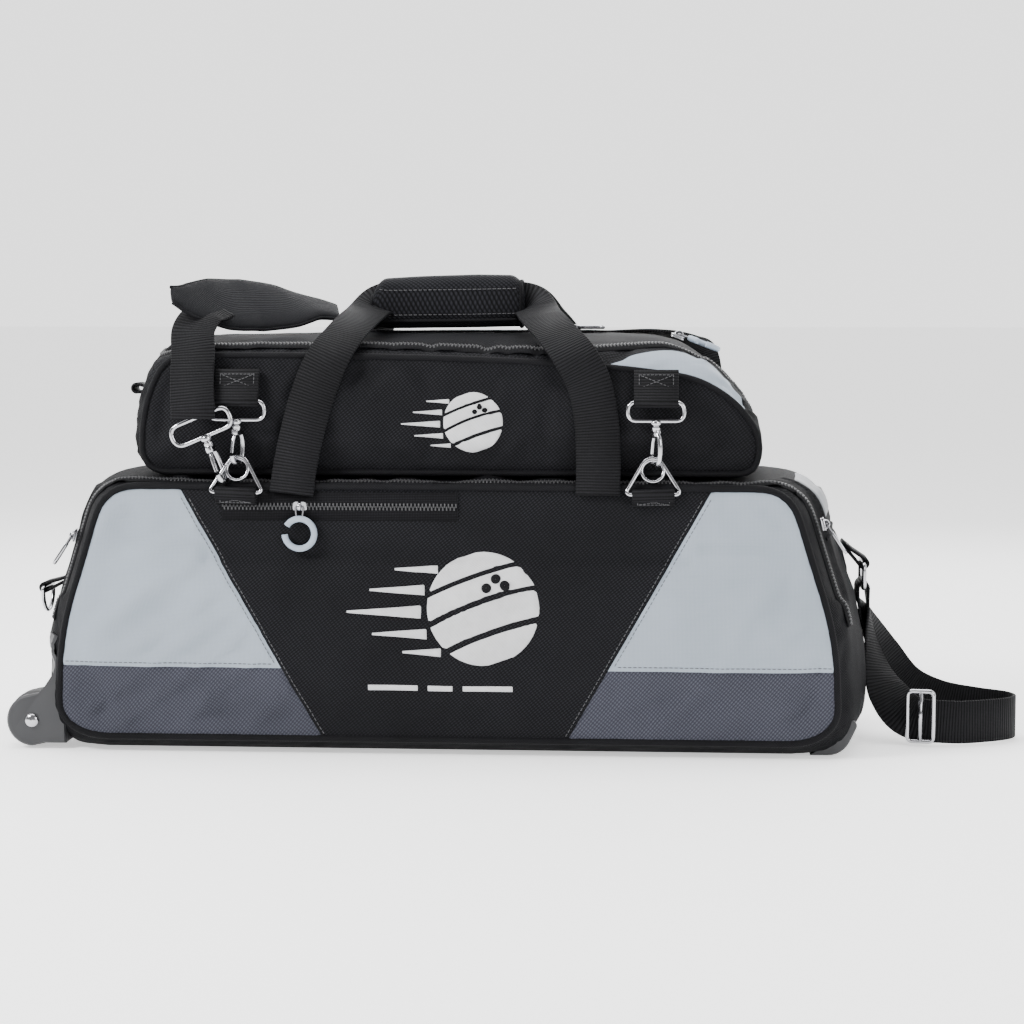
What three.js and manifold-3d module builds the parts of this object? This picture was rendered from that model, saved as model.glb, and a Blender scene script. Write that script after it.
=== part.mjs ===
import * as THREE from 'three';
import { mergeVertices } from 'three/addons/utils/BufferGeometryUtils.js';
import Module from 'manifold-3d';

// Rolling three-ball bowling tote with a detachable pouch clipped on top.
// Millimetres, +Z up, front panel towards -Y, wheels at the -X end, origin at the centre of the underside.

const wasm = await Module();
wasm.setup();
const V = (x, y, z) => new THREE.Vector3(x, y, z);
const group = new THREE.Group();
const GAP = 0.4;

// Tote body
const TOTE_DEPTH = 122;
const TOTE_BULGE = 27;
const TOTE_DOME = 5;
const TOTE_WALL = 5;
const TOTE_RIM = 221;
const TOTE_CORNERS = [
  [-341, 0, 38], [-337, 104, 60], [-316, 176, 60], [-300, 234, 30],
  [300, 234, 30], [316, 176, 60], [337, 104, 60], [341, 0, 38],
];

// Pouch body
const POUCH_DEPTH = 104;
const POUCH_WALL = 4;
const POUCH_RIM = 343;
const POUCH_FRONT = [
  [-268, 241, 24], [-266, 300, 30], [-246, 346, 22], [-110, 346, 60], [30, 343, 60],
  [140, 337, 60], [218, 327, 30], [252, 306, 22], [273, 276, 16], [268, 241, 22],
];
const POUCH_MIDDLE = [
  [-278, 241, 24], [-277, 300, 30], [-252, 358, 26], [-110, 361, 60], [30, 361, 60],
  [140, 361, 60], [197, 358.5, 30], [241, 322, 22], [273, 279, 16], [268, 241, 22],
];

// Webbing
const WEB = 38;
const WEB_THICK = 2.6;

// Wheels
const WHEEL_X = -364;
const WHEEL_Y = 90;
const WHEEL_R = 24;
const WHEEL_WIDTH = 24;
const AXLE_R = 4;

// Rings, hooks and zippers
const RING_X = 179;
const RING_Y = 127;
const RING_Z = 227;
const HOOK_LOOP_Z = 297;
const HOOK_Y = 118;
const RING_LEAN = 0.3;
const WIRE = 1.8;
const ZIP_Z = 215;

function colour(hex, roughness, metalness) {
  return new THREE.MeshStandardMaterial({ color: hex, roughness, metalness });
}

const FABRIC = () => colour(0x1c1c20, 0.85, 0);
const WEBBING = () => colour(0x17171a, 0.8, 0);
const METAL = () => colour(0xb9bcc2, 0.28, 1);
const RUBBER = () => colour(0x9aa3af, 0.6, 0);
const MOULDED = () => colour(0x2d2f32, 0.55, 0);

function add(name, geometry, material) {
  const mesh = new THREE.Mesh(geometry, material);
  mesh.name = name;
  group.add(mesh);
}

function solid(geometry) {
  const g = geometry.clone();
  g.deleteAttribute('normal');
  g.deleteAttribute('uv');
  const m = mergeVertices(g, 1e-4);
  return new wasm.Manifold(new wasm.Mesh({
    numProp: 3,
    vertProperties: new Float32Array(m.attributes.position.array),
    triVerts: new Uint32Array(m.index.array),
  }));
}

function geometryOf(manifold) {
  const mesh = manifold.getMesh();
  const g = new THREE.BufferGeometry();
  const p = new Float32Array(mesh.numVert * 3);
  for (let i = 0; i < mesh.numVert; i++) {
    for (let k = 0; k < 3; k++) p[i * 3 + k] = mesh.vertProperties[i * mesh.numProp + k];
  }
  g.setAttribute('position', new THREE.BufferAttribute(p, 3));
  g.setIndex(new THREE.BufferAttribute(new Uint32Array(mesh.triVerts), 1));
  g.computeVertexNormals();
  return g;
}

// A closed body through rings of equal count; the ends are capped unless the rings close on themselves.
function skin(rings, closed = false) {
  const n = rings[0].length;
  const points = rings.flat();
  const index = [];
  const spans = closed ? rings.length : rings.length - 1;
  for (let i = 0; i < spans; i++) {
    const a = i * n;
    const b = ((i + 1) % rings.length) * n;
    for (let j = 0; j < n; j++) {
      const k = (j + 1) % n;
      index.push(a + j, a + k, b + k, a + j, b + k, b + j);
    }
  }
  if (!closed) {
    for (const [start, flip] of [[0, true], [(rings.length - 1) * n, false]]) {
      const ring = points.slice(start, start + n);
      const middle = ring.reduce((s, p) => s.add(p), V(0, 0, 0)).divideScalar(n);
      points.push(middle);
      const c = points.length - 1;
      for (let j = 0; j < n; j++) {
        const k = (j + 1) % n;
        if (flip) index.push(c, start + k, start + j);
        else index.push(c, start + j, start + k);
      }
    }
  }
  const g = new THREE.BufferGeometry();
  const flat = new Float32Array(points.flatMap((p) => [p.x, p.y, p.z]));
  g.setAttribute('position', new THREE.BufferAttribute(flat, 3));
  g.setIndex(index);
  let volume = 0;
  for (let i = 0; i < index.length; i += 3) {
    const [a, b, c] = [points[index[i]], points[index[i + 1]], points[index[i + 2]]];
    volume += a.dot(b.clone().cross(c));
  }
  if (volume < 0) {
    for (let i = 0; i < index.length; i += 3) [index[i], index[i + 1]] = [index[i + 1], index[i]];
    g.setIndex(index);
  }
  g.computeVertexNormals();
  return g;
}

// A section of [across, outward] points carried along a path; one outward normal per path point.
function sweep(path, normals, section, closed = false) {
  const last = path.length - 1;
  const rings = path.map((p, i) => {
    const before = path[i === 0 ? (closed ? last : 0) : i - 1];
    const after = path[i === last ? (closed ? 0 : last) : i + 1];
    const along = after.clone().sub(before).normalize();
    const given = Array.isArray(normals) ? normals[i] : normals;
    const out = given.clone().addScaledVector(along, -given.dot(along)).normalize();
    const across = along.clone().cross(out);
    return section.map(([u, v]) => p.clone().addScaledVector(across, u).addScaledVector(out, v));
  });
  return skin(rings, closed);
}

function flatSection(width, thick) {
  const [w, t] = [width / 2, thick / 2];
  return [[-w, -t], [w, -t], [w, t], [-w, t]];
}

function roundSection(radius, sides = 6) {
  return Array.from({ length: sides }, (_, i) => {
    const a = (i + 0.5) / sides * 2 * Math.PI;
    return [radius * Math.cos(a), radius * Math.sin(a)];
  });
}

// Points on a smooth curve through the given ones.
function smooth(points, count, closed = false) {
  const curve = new THREE.CatmullRomCurve3(points, closed, 'centripetal');
  const out = curve.getSpacedPoints(count);
  if (closed) out.pop();
  return out;
}

// A flat band along a smooth curve, with an outward normal given at each control point.
function band(points, normals, width, thick, count, closed = false) {
  const curve = new THREE.CatmullRomCurve3(points, closed, 'centripetal');
  const facing = new THREE.CatmullRomCurve3(normals, closed, 'centripetal');
  const path = [];
  const out = [];
  for (let i = 0; i < count + (closed ? 0 : 1); i++) {
    const t = curve.getUtoTmapping(i / count);
    path.push(curve.getPoint(t));
    out.push(facing.getPoint(t).normalize());
  }
  return sweep(path, out, flatSection(width, thick), closed);
}

function arc(cx, cy, radius, from, to, steps) {
  return Array.from({ length: steps + 1 }, (_, i) => {
    const a = from + (to - from) * i / steps;
    return [cx + radius * Math.cos(a), cy + radius * Math.sin(a)];
  });
}

// Rounds the corners of a polygon given as [x, z, radius].
function rounded(corners, steps) {
  const out = [];
  const n = corners.length;
  corners.forEach(([x, z, r], i) => {
    const a = corners[(i + n - 1) % n];
    const b = corners[(i + 1) % n];
    const before = new THREE.Vector2(a[0] - x, a[1] - z);
    const after = new THREE.Vector2(b[0] - x, b[1] - z);
    const reach = Math.min(r, before.length() * 0.45, after.length() * 0.45);
    before.setLength(reach);
    after.setLength(reach);
    for (let k = 0; k <= steps; k++) {
      const t = k / steps;
      const [u, w] = [(1 - t) * (1 - t), t * t];
      out.push([x + before.x * u + after.x * w, z + before.y * u + after.y * w]);
    }
  });
  return out;
}

function box(x0, x1, y0, y1, z0, z1) {
  const g = new THREE.BoxGeometry(x1 - x0, y1 - y0, z1 - z0);
  g.translate((x0 + x1) / 2, (y0 + y1) / 2, (z0 + z1) / 2);
  return g;
}

function cylinderY(x, z, y0, y1, radius, sides = 24) {
  const g = new THREE.CylinderGeometry(radius, radius, y1 - y0, sides);
  g.translate(x, (y0 + y1) / 2, z);
  return g;
}

// Profile in XZ carried along Y.
function prism(outline, y0, y1) {
  return skin([y0, y1].map((y) => outline.map(([x, z]) => V(x, y, z))));
}

// Tote body: the front outline, fuller at mid-depth, with flat underside and softly domed top.
function toteBody(inset) {
  const outline = rounded(TOTE_CORNERS, 3);
  const depth = TOTE_DEPTH - inset;
  const stations = [-1, -0.985, -0.93, -0.7, 0, 0.7, 0.93, 0.985, 1];
  return skin(stations.map((s) => {
    const edge = Math.abs(s) > 0.99 ? 4 : Math.abs(s) > 0.95 ? 1.2 : 0;
    const fuller = TOTE_BULGE * (1 - s * s);
    return outline.map(([x, z]) => {
      const sx = (341 + fuller - inset - edge) / 341;
      const lift = z > 200 ? TOTE_DOME * (1 - s * s) - inset - edge : 0;
      const foot = z < 1 ? inset + (inset ? 0 : edge) : 0;
      return V(x * sx, s * depth, z + lift + foot);
    });
  }));
}

function slab(z0, z1) {
  return solid(box(-450, 450, -200, 200, z0, z1));
}

const wheelBay = (grow) => {
  const bays = [-1, 1].map((side) => {
    const y = side * WHEEL_Y;
    return solid(box(-420, -333 + grow, y - 25 - grow, y + 25 + grow, -20, 70 + grow));
  });
  return bays[0].add(bays[1]);
};

const toteOuter = solid(toteBody(0));
const toteInner = solid(toteBody(TOTE_WALL));
const toteTub = toteOuter.subtract(wheelBay(0))
  .subtract(toteInner.subtract(wheelBay(TOTE_WALL)))
  .intersect(slab(-1, TOTE_RIM));
add('tote_shell', geometryOf(toteTub), FABRIC());

const totePlate = toteOuter.intersect(slab(TOTE_RIM + GAP, 260))
  .subtract(solid(toteBody(4)).intersect(slab(-1, 260)));
add('tote_top', geometryOf(totePlate), FABRIC());

add('base_board', box(-318, 322, -104, 104, TOTE_WALL + GAP, TOTE_WALL + 4), colour(0x3b3a38, 0.8, 0));

// Foam cups that keep the three balls apart.
const BALL_R = 109;
const BALL_PITCH = 212;
const TRAY_Z = TOTE_WALL + 4 + GAP;
const TRAY_TOP = 46;
let tray = solid(box(-318, 322, -104, 104, TRAY_Z, TRAY_TOP));
for (const i of [-1, 0, 1]) {
  const ball = new THREE.SphereGeometry(BALL_R, 22, 16);
  ball.translate(2 + i * BALL_PITCH, 0, TRAY_Z + 6 + BALL_R);
  tray = tray.subtract(solid(ball));
}
add('ball_tray', geometryOf(tray), colour(0x26262a, 0.95, 0));

// Wheel housings, wheels and axles at the -X end.
function wheelSet(side, tag) {
  const y = side * WHEEL_Y;
  const hub = [WHEEL_X, WHEEL_R + 0.5];
  const outline = [
    ...arc(hub[0], hub[1], 22, Math.PI * 0.92, Math.PI * 1.22, 4),
    [WHEEL_X - 14, 6], [WHEEL_X + 12, 6], [-334, 6], [-334, 69],
    [-341, 69], [-352, 56], [-370, 44],
    ...arc(hub[0], hub[1], 22, Math.PI * 0.62, Math.PI * 0.85, 3),
  ];
  const shell = solid(prism(outline, y - 23, y + 23));
  const slot = solid(prism([
    ...arc(hub[0], hub[1], WHEEL_R + 2.5, Math.PI * 0.5, -Math.PI * 0.35, 8),
    [-338, -5], [-430, -5], [-430, WHEEL_R + 27],
  ], y - WHEEL_WIDTH / 2 - 2, y + WHEEL_WIDTH / 2 + 2));
  const bore = solid(cylinderY(hub[0], hub[1], y - 40, y + 40, AXLE_R));
  const housing = shell.subtract(slot).subtract(solid(cylinderY(hub[0], hub[1], y - 40, y + 40, AXLE_R + GAP)));
  add(`wheel_housing_${tag}`, geometryOf(housing), MOULDED());

  const half = WHEEL_WIDTH / 2;
  const profile = [
    [AXLE_R + 0.5, -half], [14, -half], [16, -half + 3], [WHEEL_R - 1.5, -half + 4],
    [WHEEL_R, -half + 7], [WHEEL_R, half - 7], [WHEEL_R - 1.5, half - 4],
    [16, half - 3], [14, half], [AXLE_R + 0.5, half], [AXLE_R + 0.5, -half],
  ].map(([r, h]) => new THREE.Vector2(r, h));
  const wheel = new THREE.LatheGeometry(profile, 24);
  wheel.translate(hub[0], y, hub[1]);
  add(`wheel_${tag}`, geometryOf(solid(wheel)), colour(0x1d1e20, 0.5, 0));

  const head = [[0, 0], [6.5, 0], [6.2, 1.6], [4.2, 3.2], [0, 4]].map(([r, h]) => new THREE.Vector2(r, h));
  const dome = new THREE.LatheGeometry(head, 14);
  const out = dome.clone();
  out.translate(hub[0], y + 23.4, hub[1]);
  const inner = dome.clone();
  inner.rotateZ(Math.PI);
  inner.translate(hub[0], y - 23.4, hub[1]);
  const pin = solid(cylinderY(hub[0], hub[1], y - 23.6, y + 23.6, AXLE_R, 14));
  add(`axle_${tag}`, geometryOf(pin.add(solid(out)).add(solid(inner))), METAL());
  bore.delete();
}
wheelSet(-1, 'front');
wheelSet(1, 'back');

// Skid feet under the rounded corners of the +X end.
for (const [side, tag] of [[-1, 'front'], [1, 'back']]) {
  const foot = rounded([[318, 0, 2], [340, 14, 12], [348, 32, 4], [357, 28, 4], [343, 0, 14]], 2);
  const raw = solid(prism(foot, side * 92 - 9, side * 92 + 9));
  add(`skid_${tag}`, geometryOf(raw.subtract(solid(toteBody(-GAP)))), MOULDED());
}

// A band of webbing folded round a bar: the two ends lie side by side at the sewn end.
function foldedBand(bar, toSewn, across, length, inner, width) {
  const down = toSewn.clone().normalize();
  const side = down.clone().cross(across).normalize();
  const r = inner + WEB_THICK / 2;
  const path = [];
  const normals = [];
  const put = (a, b, n) => {
    path.push(bar.clone().addScaledVector(down, a).addScaledVector(side, b));
    normals.push(n);
  };
  put(length, WEB_THICK / 2 + 0.2, side.clone());
  put(r * 1.3, r * 0.8, side.clone());
  for (let k = 0; k <= 8; k++) {
    const a = Math.PI * k / 8;
    const n = side.clone().multiplyScalar(Math.cos(a)).addScaledVector(down, -Math.sin(a));
    put(-r * Math.sin(a), r * Math.cos(a), n);
  }
  put(r * 1.3, -r * 0.8, side.clone().negate());
  put(length, -WEB_THICK / 2 - 0.2, side.clone().negate());
  return sweep(path, normals, flatSection(width, WEB_THICK));
}

// Triangle rings with a round eye at the apex, each held by a folded band in the tote's top seam.
function triangleRing(sideX, sideY, tag) {
  const [x, y] = [sideX * RING_X, sideY * RING_Y];
  const turn = -sideY * sideX * 0.1;
  const base = 23;
  const wirePath = [V(-base, 0, 2), V(-base + 2, 0, 0), V(base - 2, 0, 0), V(base, 0, 2)];
  wirePath.push(V(8.4, 0, 27), V(5.4, 0, 30.4), V(0, 0, 32), V(-5.4, 0, 30.4), V(-8.4, 0, 27));
  const frame = sweep(wirePath, V(0, -1, 0), roundSection(1.7), true);
  const eyePath = arc(0, 20.6, 9.4, 0, 2 * Math.PI, 16).slice(0, -1).map(([a, b]) => V(a, 0, b));
  const eye = sweep(eyePath, V(0, -1, 0), roundSection(1.5), true);
  const ring = solid(frame).add(solid(eye));
  const g = geometryOf(ring);
  g.rotateX(sideY * RING_LEAN);
  g.rotateZ(turn);
  g.translate(x, y, RING_Z);
  add(`ring_${tag}`, g, METAL());
  const across = V(Math.cos(turn), Math.sin(turn), 0);
  const fold = foldedBand(V(x, y, RING_Z), V(0, -sideY * 0.3, -1), across, 10, 2.2, 36);
  const clear = solid(fold).subtract(solid(toteBody(-GAP)));
  add(`ring_band_${tag}`, geometryOf(clear), WEBBING());
}

// Snap hook: flat loop for the webbing, swivel post, hook body, and a gate on its own.
function snapHook(place, turn, tag, owner, tilt = 0, size = 1, spin = 0) {
  const loop = rounded([[-24, -8, 9], [-24, 8, 9], [24, 8, 9], [24, -8, 9]], 3).map(([a, b]) => V(a, 0, b));
  const loopWire = sweep(loop, V(0, -1, 0), roundSection(WIRE), true);
  const post = new THREE.CylinderGeometry(3.8, 3.2, 10, 10);
  post.rotateX(Math.PI / 2);
  post.translate(0, 0, -12.5);
  const bodyPath = smooth([
    V(0, 0, -16), V(4, 0, -19), V(7, 0, -25), V(7.6, 0, -33),
    V(5.4, 0, -43), V(0, 0, -46.6), V(-5.4, 0, -43.5), V(-7.3, 0, -38.5),
  ], 14);
  const wire = sweep(bodyPath, V(0, -1, 0), roundSection(2));
  wire.rotateZ(turn);
  const shoulder = box(-4.6, 4.6, -2.6, 2.6, -21, -15.5);
  shoulder.rotateZ(turn);
  const hook = solid(loopWire).add(solid(post)).add(solid(wire)).add(solid(shoulder));
  const g = geometryOf(hook);
  const put = (piece) => {
    piece.scale(size, size, size);
    piece.rotateY(tilt);
    piece.rotateZ(spin);
    piece.translate(place.x, place.y, place.z);
  };
  put(g);
  add(`${owner}_hook_${tag}`, g, METAL());
  const gatePath = [V(-3.6, 0, -22.6), V(-5.5, 0, -27), V(-7.1, 0, -35.8)];
  const gate = sweep(gatePath, V(0, -1, 0), roundSection(1.6));
  gate.rotateZ(turn);
  put(gate);
  add(`${owner}_gate_${tag}`, gate, METAL());
}

for (const [sx, sy, tag] of [[-1, -1, 'fl'], [1, -1, 'fr'], [-1, 1, 'bl'], [1, 1, 'br']]) {
  triangleRing(sx, sy, tag);
  const place = V(sx * RING_X + (sx > 0 ? 2 : 0), sy * HOOK_Y, HOOK_LOOP_Z);
  snapHook(place, sy * sx * 1.06, tag, 'pouch');
  const tab = foldedBand(V(place.x, place.y, place.z + 8), V(0, -sy * 0.3, 1), V(1, 0, 0), 28, 2.3, 38);
  const clear = solid(tab).subtract(solid(pouchBody(-GAP)));
  add(`pouch_tab_${tag}`, geometryOf(clear.decompose()[0]), WEBBING());
}

// Pouch body: between the front and back outlines it fills out to the middle one.
function pouchBody(inset) {
  const depth = POUCH_DEPTH - inset;
  const stations = [-1, -0.975, -0.87, -0.6, 0, 0.6, 0.87, 0.975, 1];
  return skin(stations.map((s) => {
    const edge = Math.abs(s) > 0.99 ? 5 : Math.abs(s) > 0.95 ? 1.5 : 0;
    const share = 1 - Math.abs(s) ** 2.5;
    const corners = POUCH_FRONT.map(([x, z, r], i) => {
      const [mx, mz] = POUCH_MIDDLE[i];
      const px = x + (mx - x) * share;
      const pz = z + (mz - z) * share;
      const shrink = inset + edge;
      return [px - Math.sign(px) * shrink * Math.min(1, Math.abs(px) / 200), pz + (pz < 270 ? shrink : -shrink), r];
    });
    return rounded(corners, 3).map(([x, z]) => V(x, s * depth, z));
  }));
}

const pouchOuter = solid(pouchBody(0));
const pouchInner = solid(pouchBody(POUCH_WALL));
const pouchTub = pouchOuter.subtract(pouchInner).intersect(slab(200, POUCH_RIM));
add('pouch_shell', geometryOf(pouchTub), FABRIC());
const pouchLid = pouchOuter.subtract(solid(pouchBody(3.6))).intersect(slab(POUCH_RIM + GAP, 420));
add('pouch_lid', geometryOf(pouchLid), FABRIC());

// Carry handles: the front one wears the padded grip, the back one runs beside it.
// A leg stop is [x when leaning, x when upright, y, z]; the front right leg stands upright at its foot.
const LEG_STOPS = [
  [131, 132, 125.6, 226], [128, 132, 119, 252], [120, 130, 113, 290], [110, 123, 111, 322],
  [99, 110, 108.5, 346], [89, 96, 92, 362], [78, 80, 60, 377],
];

function handlePath(side, topY) {
  const leg = (m) => {
    const upright = m > 0 && side < 0;
    const stops = LEG_STOPS.map(([lean, stand, y, z]) => V(m * (upright ? stand : lean), side * y, z));
    return [...stops, V(m * 68, topY + side * 8, 387)];
  };
  return [...leg(-1), V(-56, topY, 389), V(0, topY, 390), V(56, topY, 389), ...leg(1).reverse()];
}

function handleNormals(side) {
  const leg = [
    V(0, side, 0), V(0, side, 0.1), V(0, side, 0.05), V(0, side, 0.1),
    V(0, side, 0.75), V(0, side * 0.7, 1), V(0, side * 0.8, 1), V(0, side, 0.35),
  ];
  return [...leg, V(0, side, 0), V(0, side, 0), V(0, side, 0), ...leg.slice().reverse()];
}

const GRIP_Y = -9;
const BACK_TOP_Y = 15;
for (const [side, tag, topY] of [[-1, 'front', GRIP_Y], [1, 'back', BACK_TOP_Y]]) {
  add(`handle_${tag}`, band(handlePath(side, topY), handleNormals(side), WEB, WEB_THICK, 54), WEBBING());
}

const gripOutline = rounded([[-72, 367, 6], [-77, 387, 10], [-66, 412, 12], [56, 414, 10], [63, 401, 8], [62, 368, 6]], 3);
const gripRaw = skin([-27, -24, -9, 6, 9].map((y) => {
  const edge = Math.abs(y + 9) > 17 ? 3 : Math.abs(y + 9) > 14 ? 0.8 : 0;
  return gripOutline.map(([x, z]) => V(x * (1 - edge / 70), y, z + (z > 390 ? -edge : edge)));
}));
const slotBand = band(handlePath(-1, GRIP_Y), handleNormals(-1), WEB + 1, WEB_THICK + 1, 54);
const grip = solid(gripRaw).subtract(solid(slotBand)).decompose()
  .sort((a, b) => b.volume() - a.volume())[0];
add('handle_grip', geometryOf(grip), colour(0x1a1a1d, 0.85, 0));

// Moves a piece modelled about its pin, which lies along X with the piece hanging down -Z.
function hang(geometry, place, pin, down) {
  const z = down.clone().negate().normalize();
  const x = pin.clone().addScaledVector(z, -pin.dot(z)).normalize();
  geometry.applyMatrix4(new THREE.Matrix4().makeBasis(x, z.clone().cross(x), z).setPosition(place));
  return geometry;
}

// Zipper slider seen from outside: pin along X, zipper tape behind at +Y.
function zipSlider(name, place, pin, down, lengthways) {
  const [w, h] = lengthways ? [9, 12] : [12, 9];
  const body = solid(box(-w / 2, w / 2, 1.6, 4.6, -h / 2, h / 2));
  const bridge = sweep(arc(0, 0, 3.4, 0, Math.PI, 10).map(([a, b]) => V(0, 2.4 - b * 1.35, a)), V(1, 0, 0), roundSection(1));
  add(name, hang(geometryOf(body.add(solid(bridge))), place, pin, down), METAL());
}

// Pull: a wire link on the slider's bridge, then a moulded ring or a flat metal tab.
function zipPull(name, place, pin, down, ringed) {
  const link = sweep(
    [V(-3, 0, 0), V(3, 0, 0), V(3.4, 0, -2), V(2.2, 0, -10), V(-2.2, 0, -10), V(-3.4, 0, -2)],
    V(0, 1, 0), roundSection(0.8, 6), true);
  let pull = solid(link);
  if (ringed) {
    const ring = arc(0, -23.2, 12.8, Math.PI * 0.82, -Math.PI * 0.98, 24).map(([a, b]) => V(a, 0, b));
    pull = pull.add(solid(sweep(ring, V(0, 1, 0), roundSection(2.7))));
  } else {
    const tab = rounded([[-3.4, -9, 1], [-4.4, -30, 3], [4.4, -30, 3], [3.4, -9, 1]], 3);
    pull = pull.add(solid(prism(tab, -1.2, 1.2)));
  }
  add(name, hang(geometryOf(pull), place, pin, down), ringed ? RUBBER() : METAL());
}

// Front pocket zipper: its slider is parked near the left end.
const pocketPin = V(-124, -(TOTE_DEPTH + 5), ZIP_Z);
zipSlider('pocket_slider', pocketPin, V(1, 0, 0), V(0, 0, -1), false);
zipPull('pocket_pull', pocketPin, V(1, 0, 0), V(0, 0, -1), true);

// Main zipper: one slider on each end, on the straight slant beside the front piping.
for (const [m, tag] of [[-1, 'left'], [1, 'right']]) {
  const slant = V(m * 0.25, 0, -1).normalize();
  const place = V(m * (m > 0 ? 327.5 : 330.5), -92, m > 0 ? 200 : 186);
  const pin = V(0, m, 0);
  zipSlider(`main_slider_${tag}`, place, pin, slant, true);
  zipPull(`main_pull_${tag}`, place, pin, V(m * 0.55, 0, -0.83), false);
}

// Left end: grab tab with a D-ring.
const tabBar = V(-377, 0, 130);
const leftTab = foldedBand(tabBar, V(1, 0, 0.4), V(0, 1, 0), 26, 2.4, 30);
add('end_tab', geometryOf(solid(leftTab).subtract(solid(toteBody(-GAP)))), WEBBING());
const dPath = [V(0, -18, 0), V(0, 18, 0)];
for (const [a, b] of arc(0, -4, 18, -0.12, -Math.PI + 0.12, 12)) dPath.push(V(0, a, b));
const dRing = sweep(dPath, V(1, 0, 0), roundSection(1.9), true);
dRing.translate(tabBar.x, tabBar.y, tabBar.z);
add('end_dring', dRing, METAL());

// Right end: anchor tab, rectangular ring and the long pull strap resting on the floor.
const ringTop = V(365, 0, 158);
const anchor = foldedBand(ringTop, V(-1, 0, 0.9), V(0, 1, 0), 26, 2.6, 38);
add('pull_anchor', geometryOf(solid(anchor).subtract(solid(toteBody(-GAP)))), WEBBING());
const rect = rounded([[-24, 2, 6], [24, 2, 6], [24, -20, 6], [-24, -20, 6]], 3).map(([a, b]) => V(0, a, b - 2));
const rectRing = sweep(rect, V(1, 0, 0), roundSection(2), true);
rectRing.translate(ringTop.x, ringTop.y, ringTop.z);
add('pull_ring', rectRing, METAL());

const STRAP_BAR = ringTop.z - 22;
const strapStops = [
  [369.6, 0, STRAP_BAR - 5, 1, 0, 0], [371, -4, 112, 1, -0.1, 0], [375, -12, 80, 1, -0.5, 0],
  [386, -28, 46, 0.5, -1, 0], [405, -40, 25, 0.1, -1, 0], [440, -42, 20.4, 0, -1, 0],
  [475, -31, 20.2, 0.2, -1, 0], [497, -14, 20.2, 0.8, -0.7, 0], [502, 2, 20.2, 1, 0, 0],
  [495, 18, 20.4, 0.7, 0.8, 0], [470, 28, 22, 0, 1, 0], [435, 26, 29, 0, 1, 0],
  [405, 18, 45, -0.2, 1, 0], [387, 8, 72, -0.7, 0.8, 0], [371, 3, 104, -1, 0.3, 0],
  [361.5, 0, 122, -1, 0, 0], [360.3, 0, STRAP_BAR - 4, -1, 0, 0], [361, 0, STRAP_BAR + 2, -1, 0, 0.4],
  [365, 0, STRAP_BAR + 5.4, 0, 0, 1], [369, 0, STRAP_BAR + 2, 1, 0, 0.4],
];
const strapPath = strapStops.map(([x, y, z]) => V(x, y, z));
const strapFacing = strapStops.map((s) => V(s[3], s[4], s[5]));
add('pull_strap', band(strapPath, strapFacing, WEB, WEB_THICK, 72, true), WEBBING());

// Three-bar slide adjuster lying on a band.
function slideAdjuster(name, place, turnZ, pitch) {
  const plate = solid(prism(rounded([[-13, -24, 4], [-13, 24, 4], [13, 24, 4], [13, -24, 4]], 3), -1.5, 1.5));
  const slots = solid(box(-9.4, -2, -5, 5, -20.4, 20.4)).add(solid(box(2, 9.4, -5, 5, -20.4, 20.4)));
  const g = geometryOf(plate.subtract(slots));
  g.rotateX(pitch);
  g.rotateZ(turnZ);
  g.translate(place.x, place.y, place.z);
  add(name, g, METAL());
}
slideAdjuster('pull_adjuster', V(414, -47.4, 26), -0.12, 0);

// Pouch zipper slider at the right corner, with a ring pull, and the small tab on its left end.
const pouchPin = V(200, -50, 362);
const pouchAlong = V(0.93, 0.1, -0.36);
zipSlider('pouch_slider', pouchPin, V(-0.1, 1, 0), pouchAlong, true);
zipPull('pouch_pull', pouchPin, V(-0.1, 1, 0), pouchAlong, true);
const pouchTab = foldedBand(V(-290, 0, 312), V(1, 0, -0.1), V(0, 1, 0), 18, 2.5, 25);
add('pouch_end_tab', geometryOf(solid(pouchTab).subtract(solid(pouchBody(-GAP)))), WEBBING());

// Shoulder strap: from the front left ring, padded over the pouch, down to the back right ring.
const STRAP_HOOK_TILT = 0.4;
snapHook(V(-209, -123.5, 283), 1.4, 'front', 'strap', -STRAP_HOOK_TILT, 1.12);
snapHook(V(209, 123.5, 283), 1.4, 'back', 'strap', -STRAP_HOOK_TILT, 1.12, Math.PI);
const frontStops = [
  [-215, -129, 290, 0, -1, 0], [-215, -129, 298, 0, -1, 0], [-217, -121, 322, 0, -1, 0.1],
  [-218, -110, 346, 0, -1, 0.3], [-220, -96, 364, 0, -0.8, 0.6], [-216, -78, 373, -0.2, -0.5, 0.9],
];
add('strap_web_front', band(frontStops.map(([x, y, z]) => V(x, y, z)),
  frontStops.map((s) => V(s[3], s[4], s[5])), WEB, WEB_THICK, 20), WEBBING());
const padStops = [
  [-214, -66, 380, 0.1, -0.55, 0.8], [-195, -46, 386, 0.1, -0.6, 0.8], [-165, -22, 389, 0, -0.6, 0.8],
  [-135, -2, 388, 0, -0.5, 0.85], [-112, 6, 384, 0, -0.3, 0.95],
];
add('strap_pad', band(padStops.map(([x, y, z]) => V(x, y, z)),
  padStops.map((s) => V(s[3], s[4], s[5])), 56, 9, 16), colour(0x25262a, 0.9, 0));
const longStops = [
  [-106, 7, 371, 0.2, 0, 1], [-92, 6, 365.5, 0.3, 0, 1], [-70, 6, 363.3, 0, 0, 1], [0, 12, 363.2, 0, 0, 1],
  [70, 18, 363.2, 0, 0, 1], [130, 26, 363, 0, 0, 1], [172, 48, 361, 0, 0.2, 1], [202, 84, 352, 0, 0.6, 1],
  [216, 109, 342, 0, 1, 0.5], [221, 122, 322, 0, 1, 0.1], [218, 129, 298, 0, 1, 0], [218, 129, 290, 0, 1, 0],
];
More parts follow.
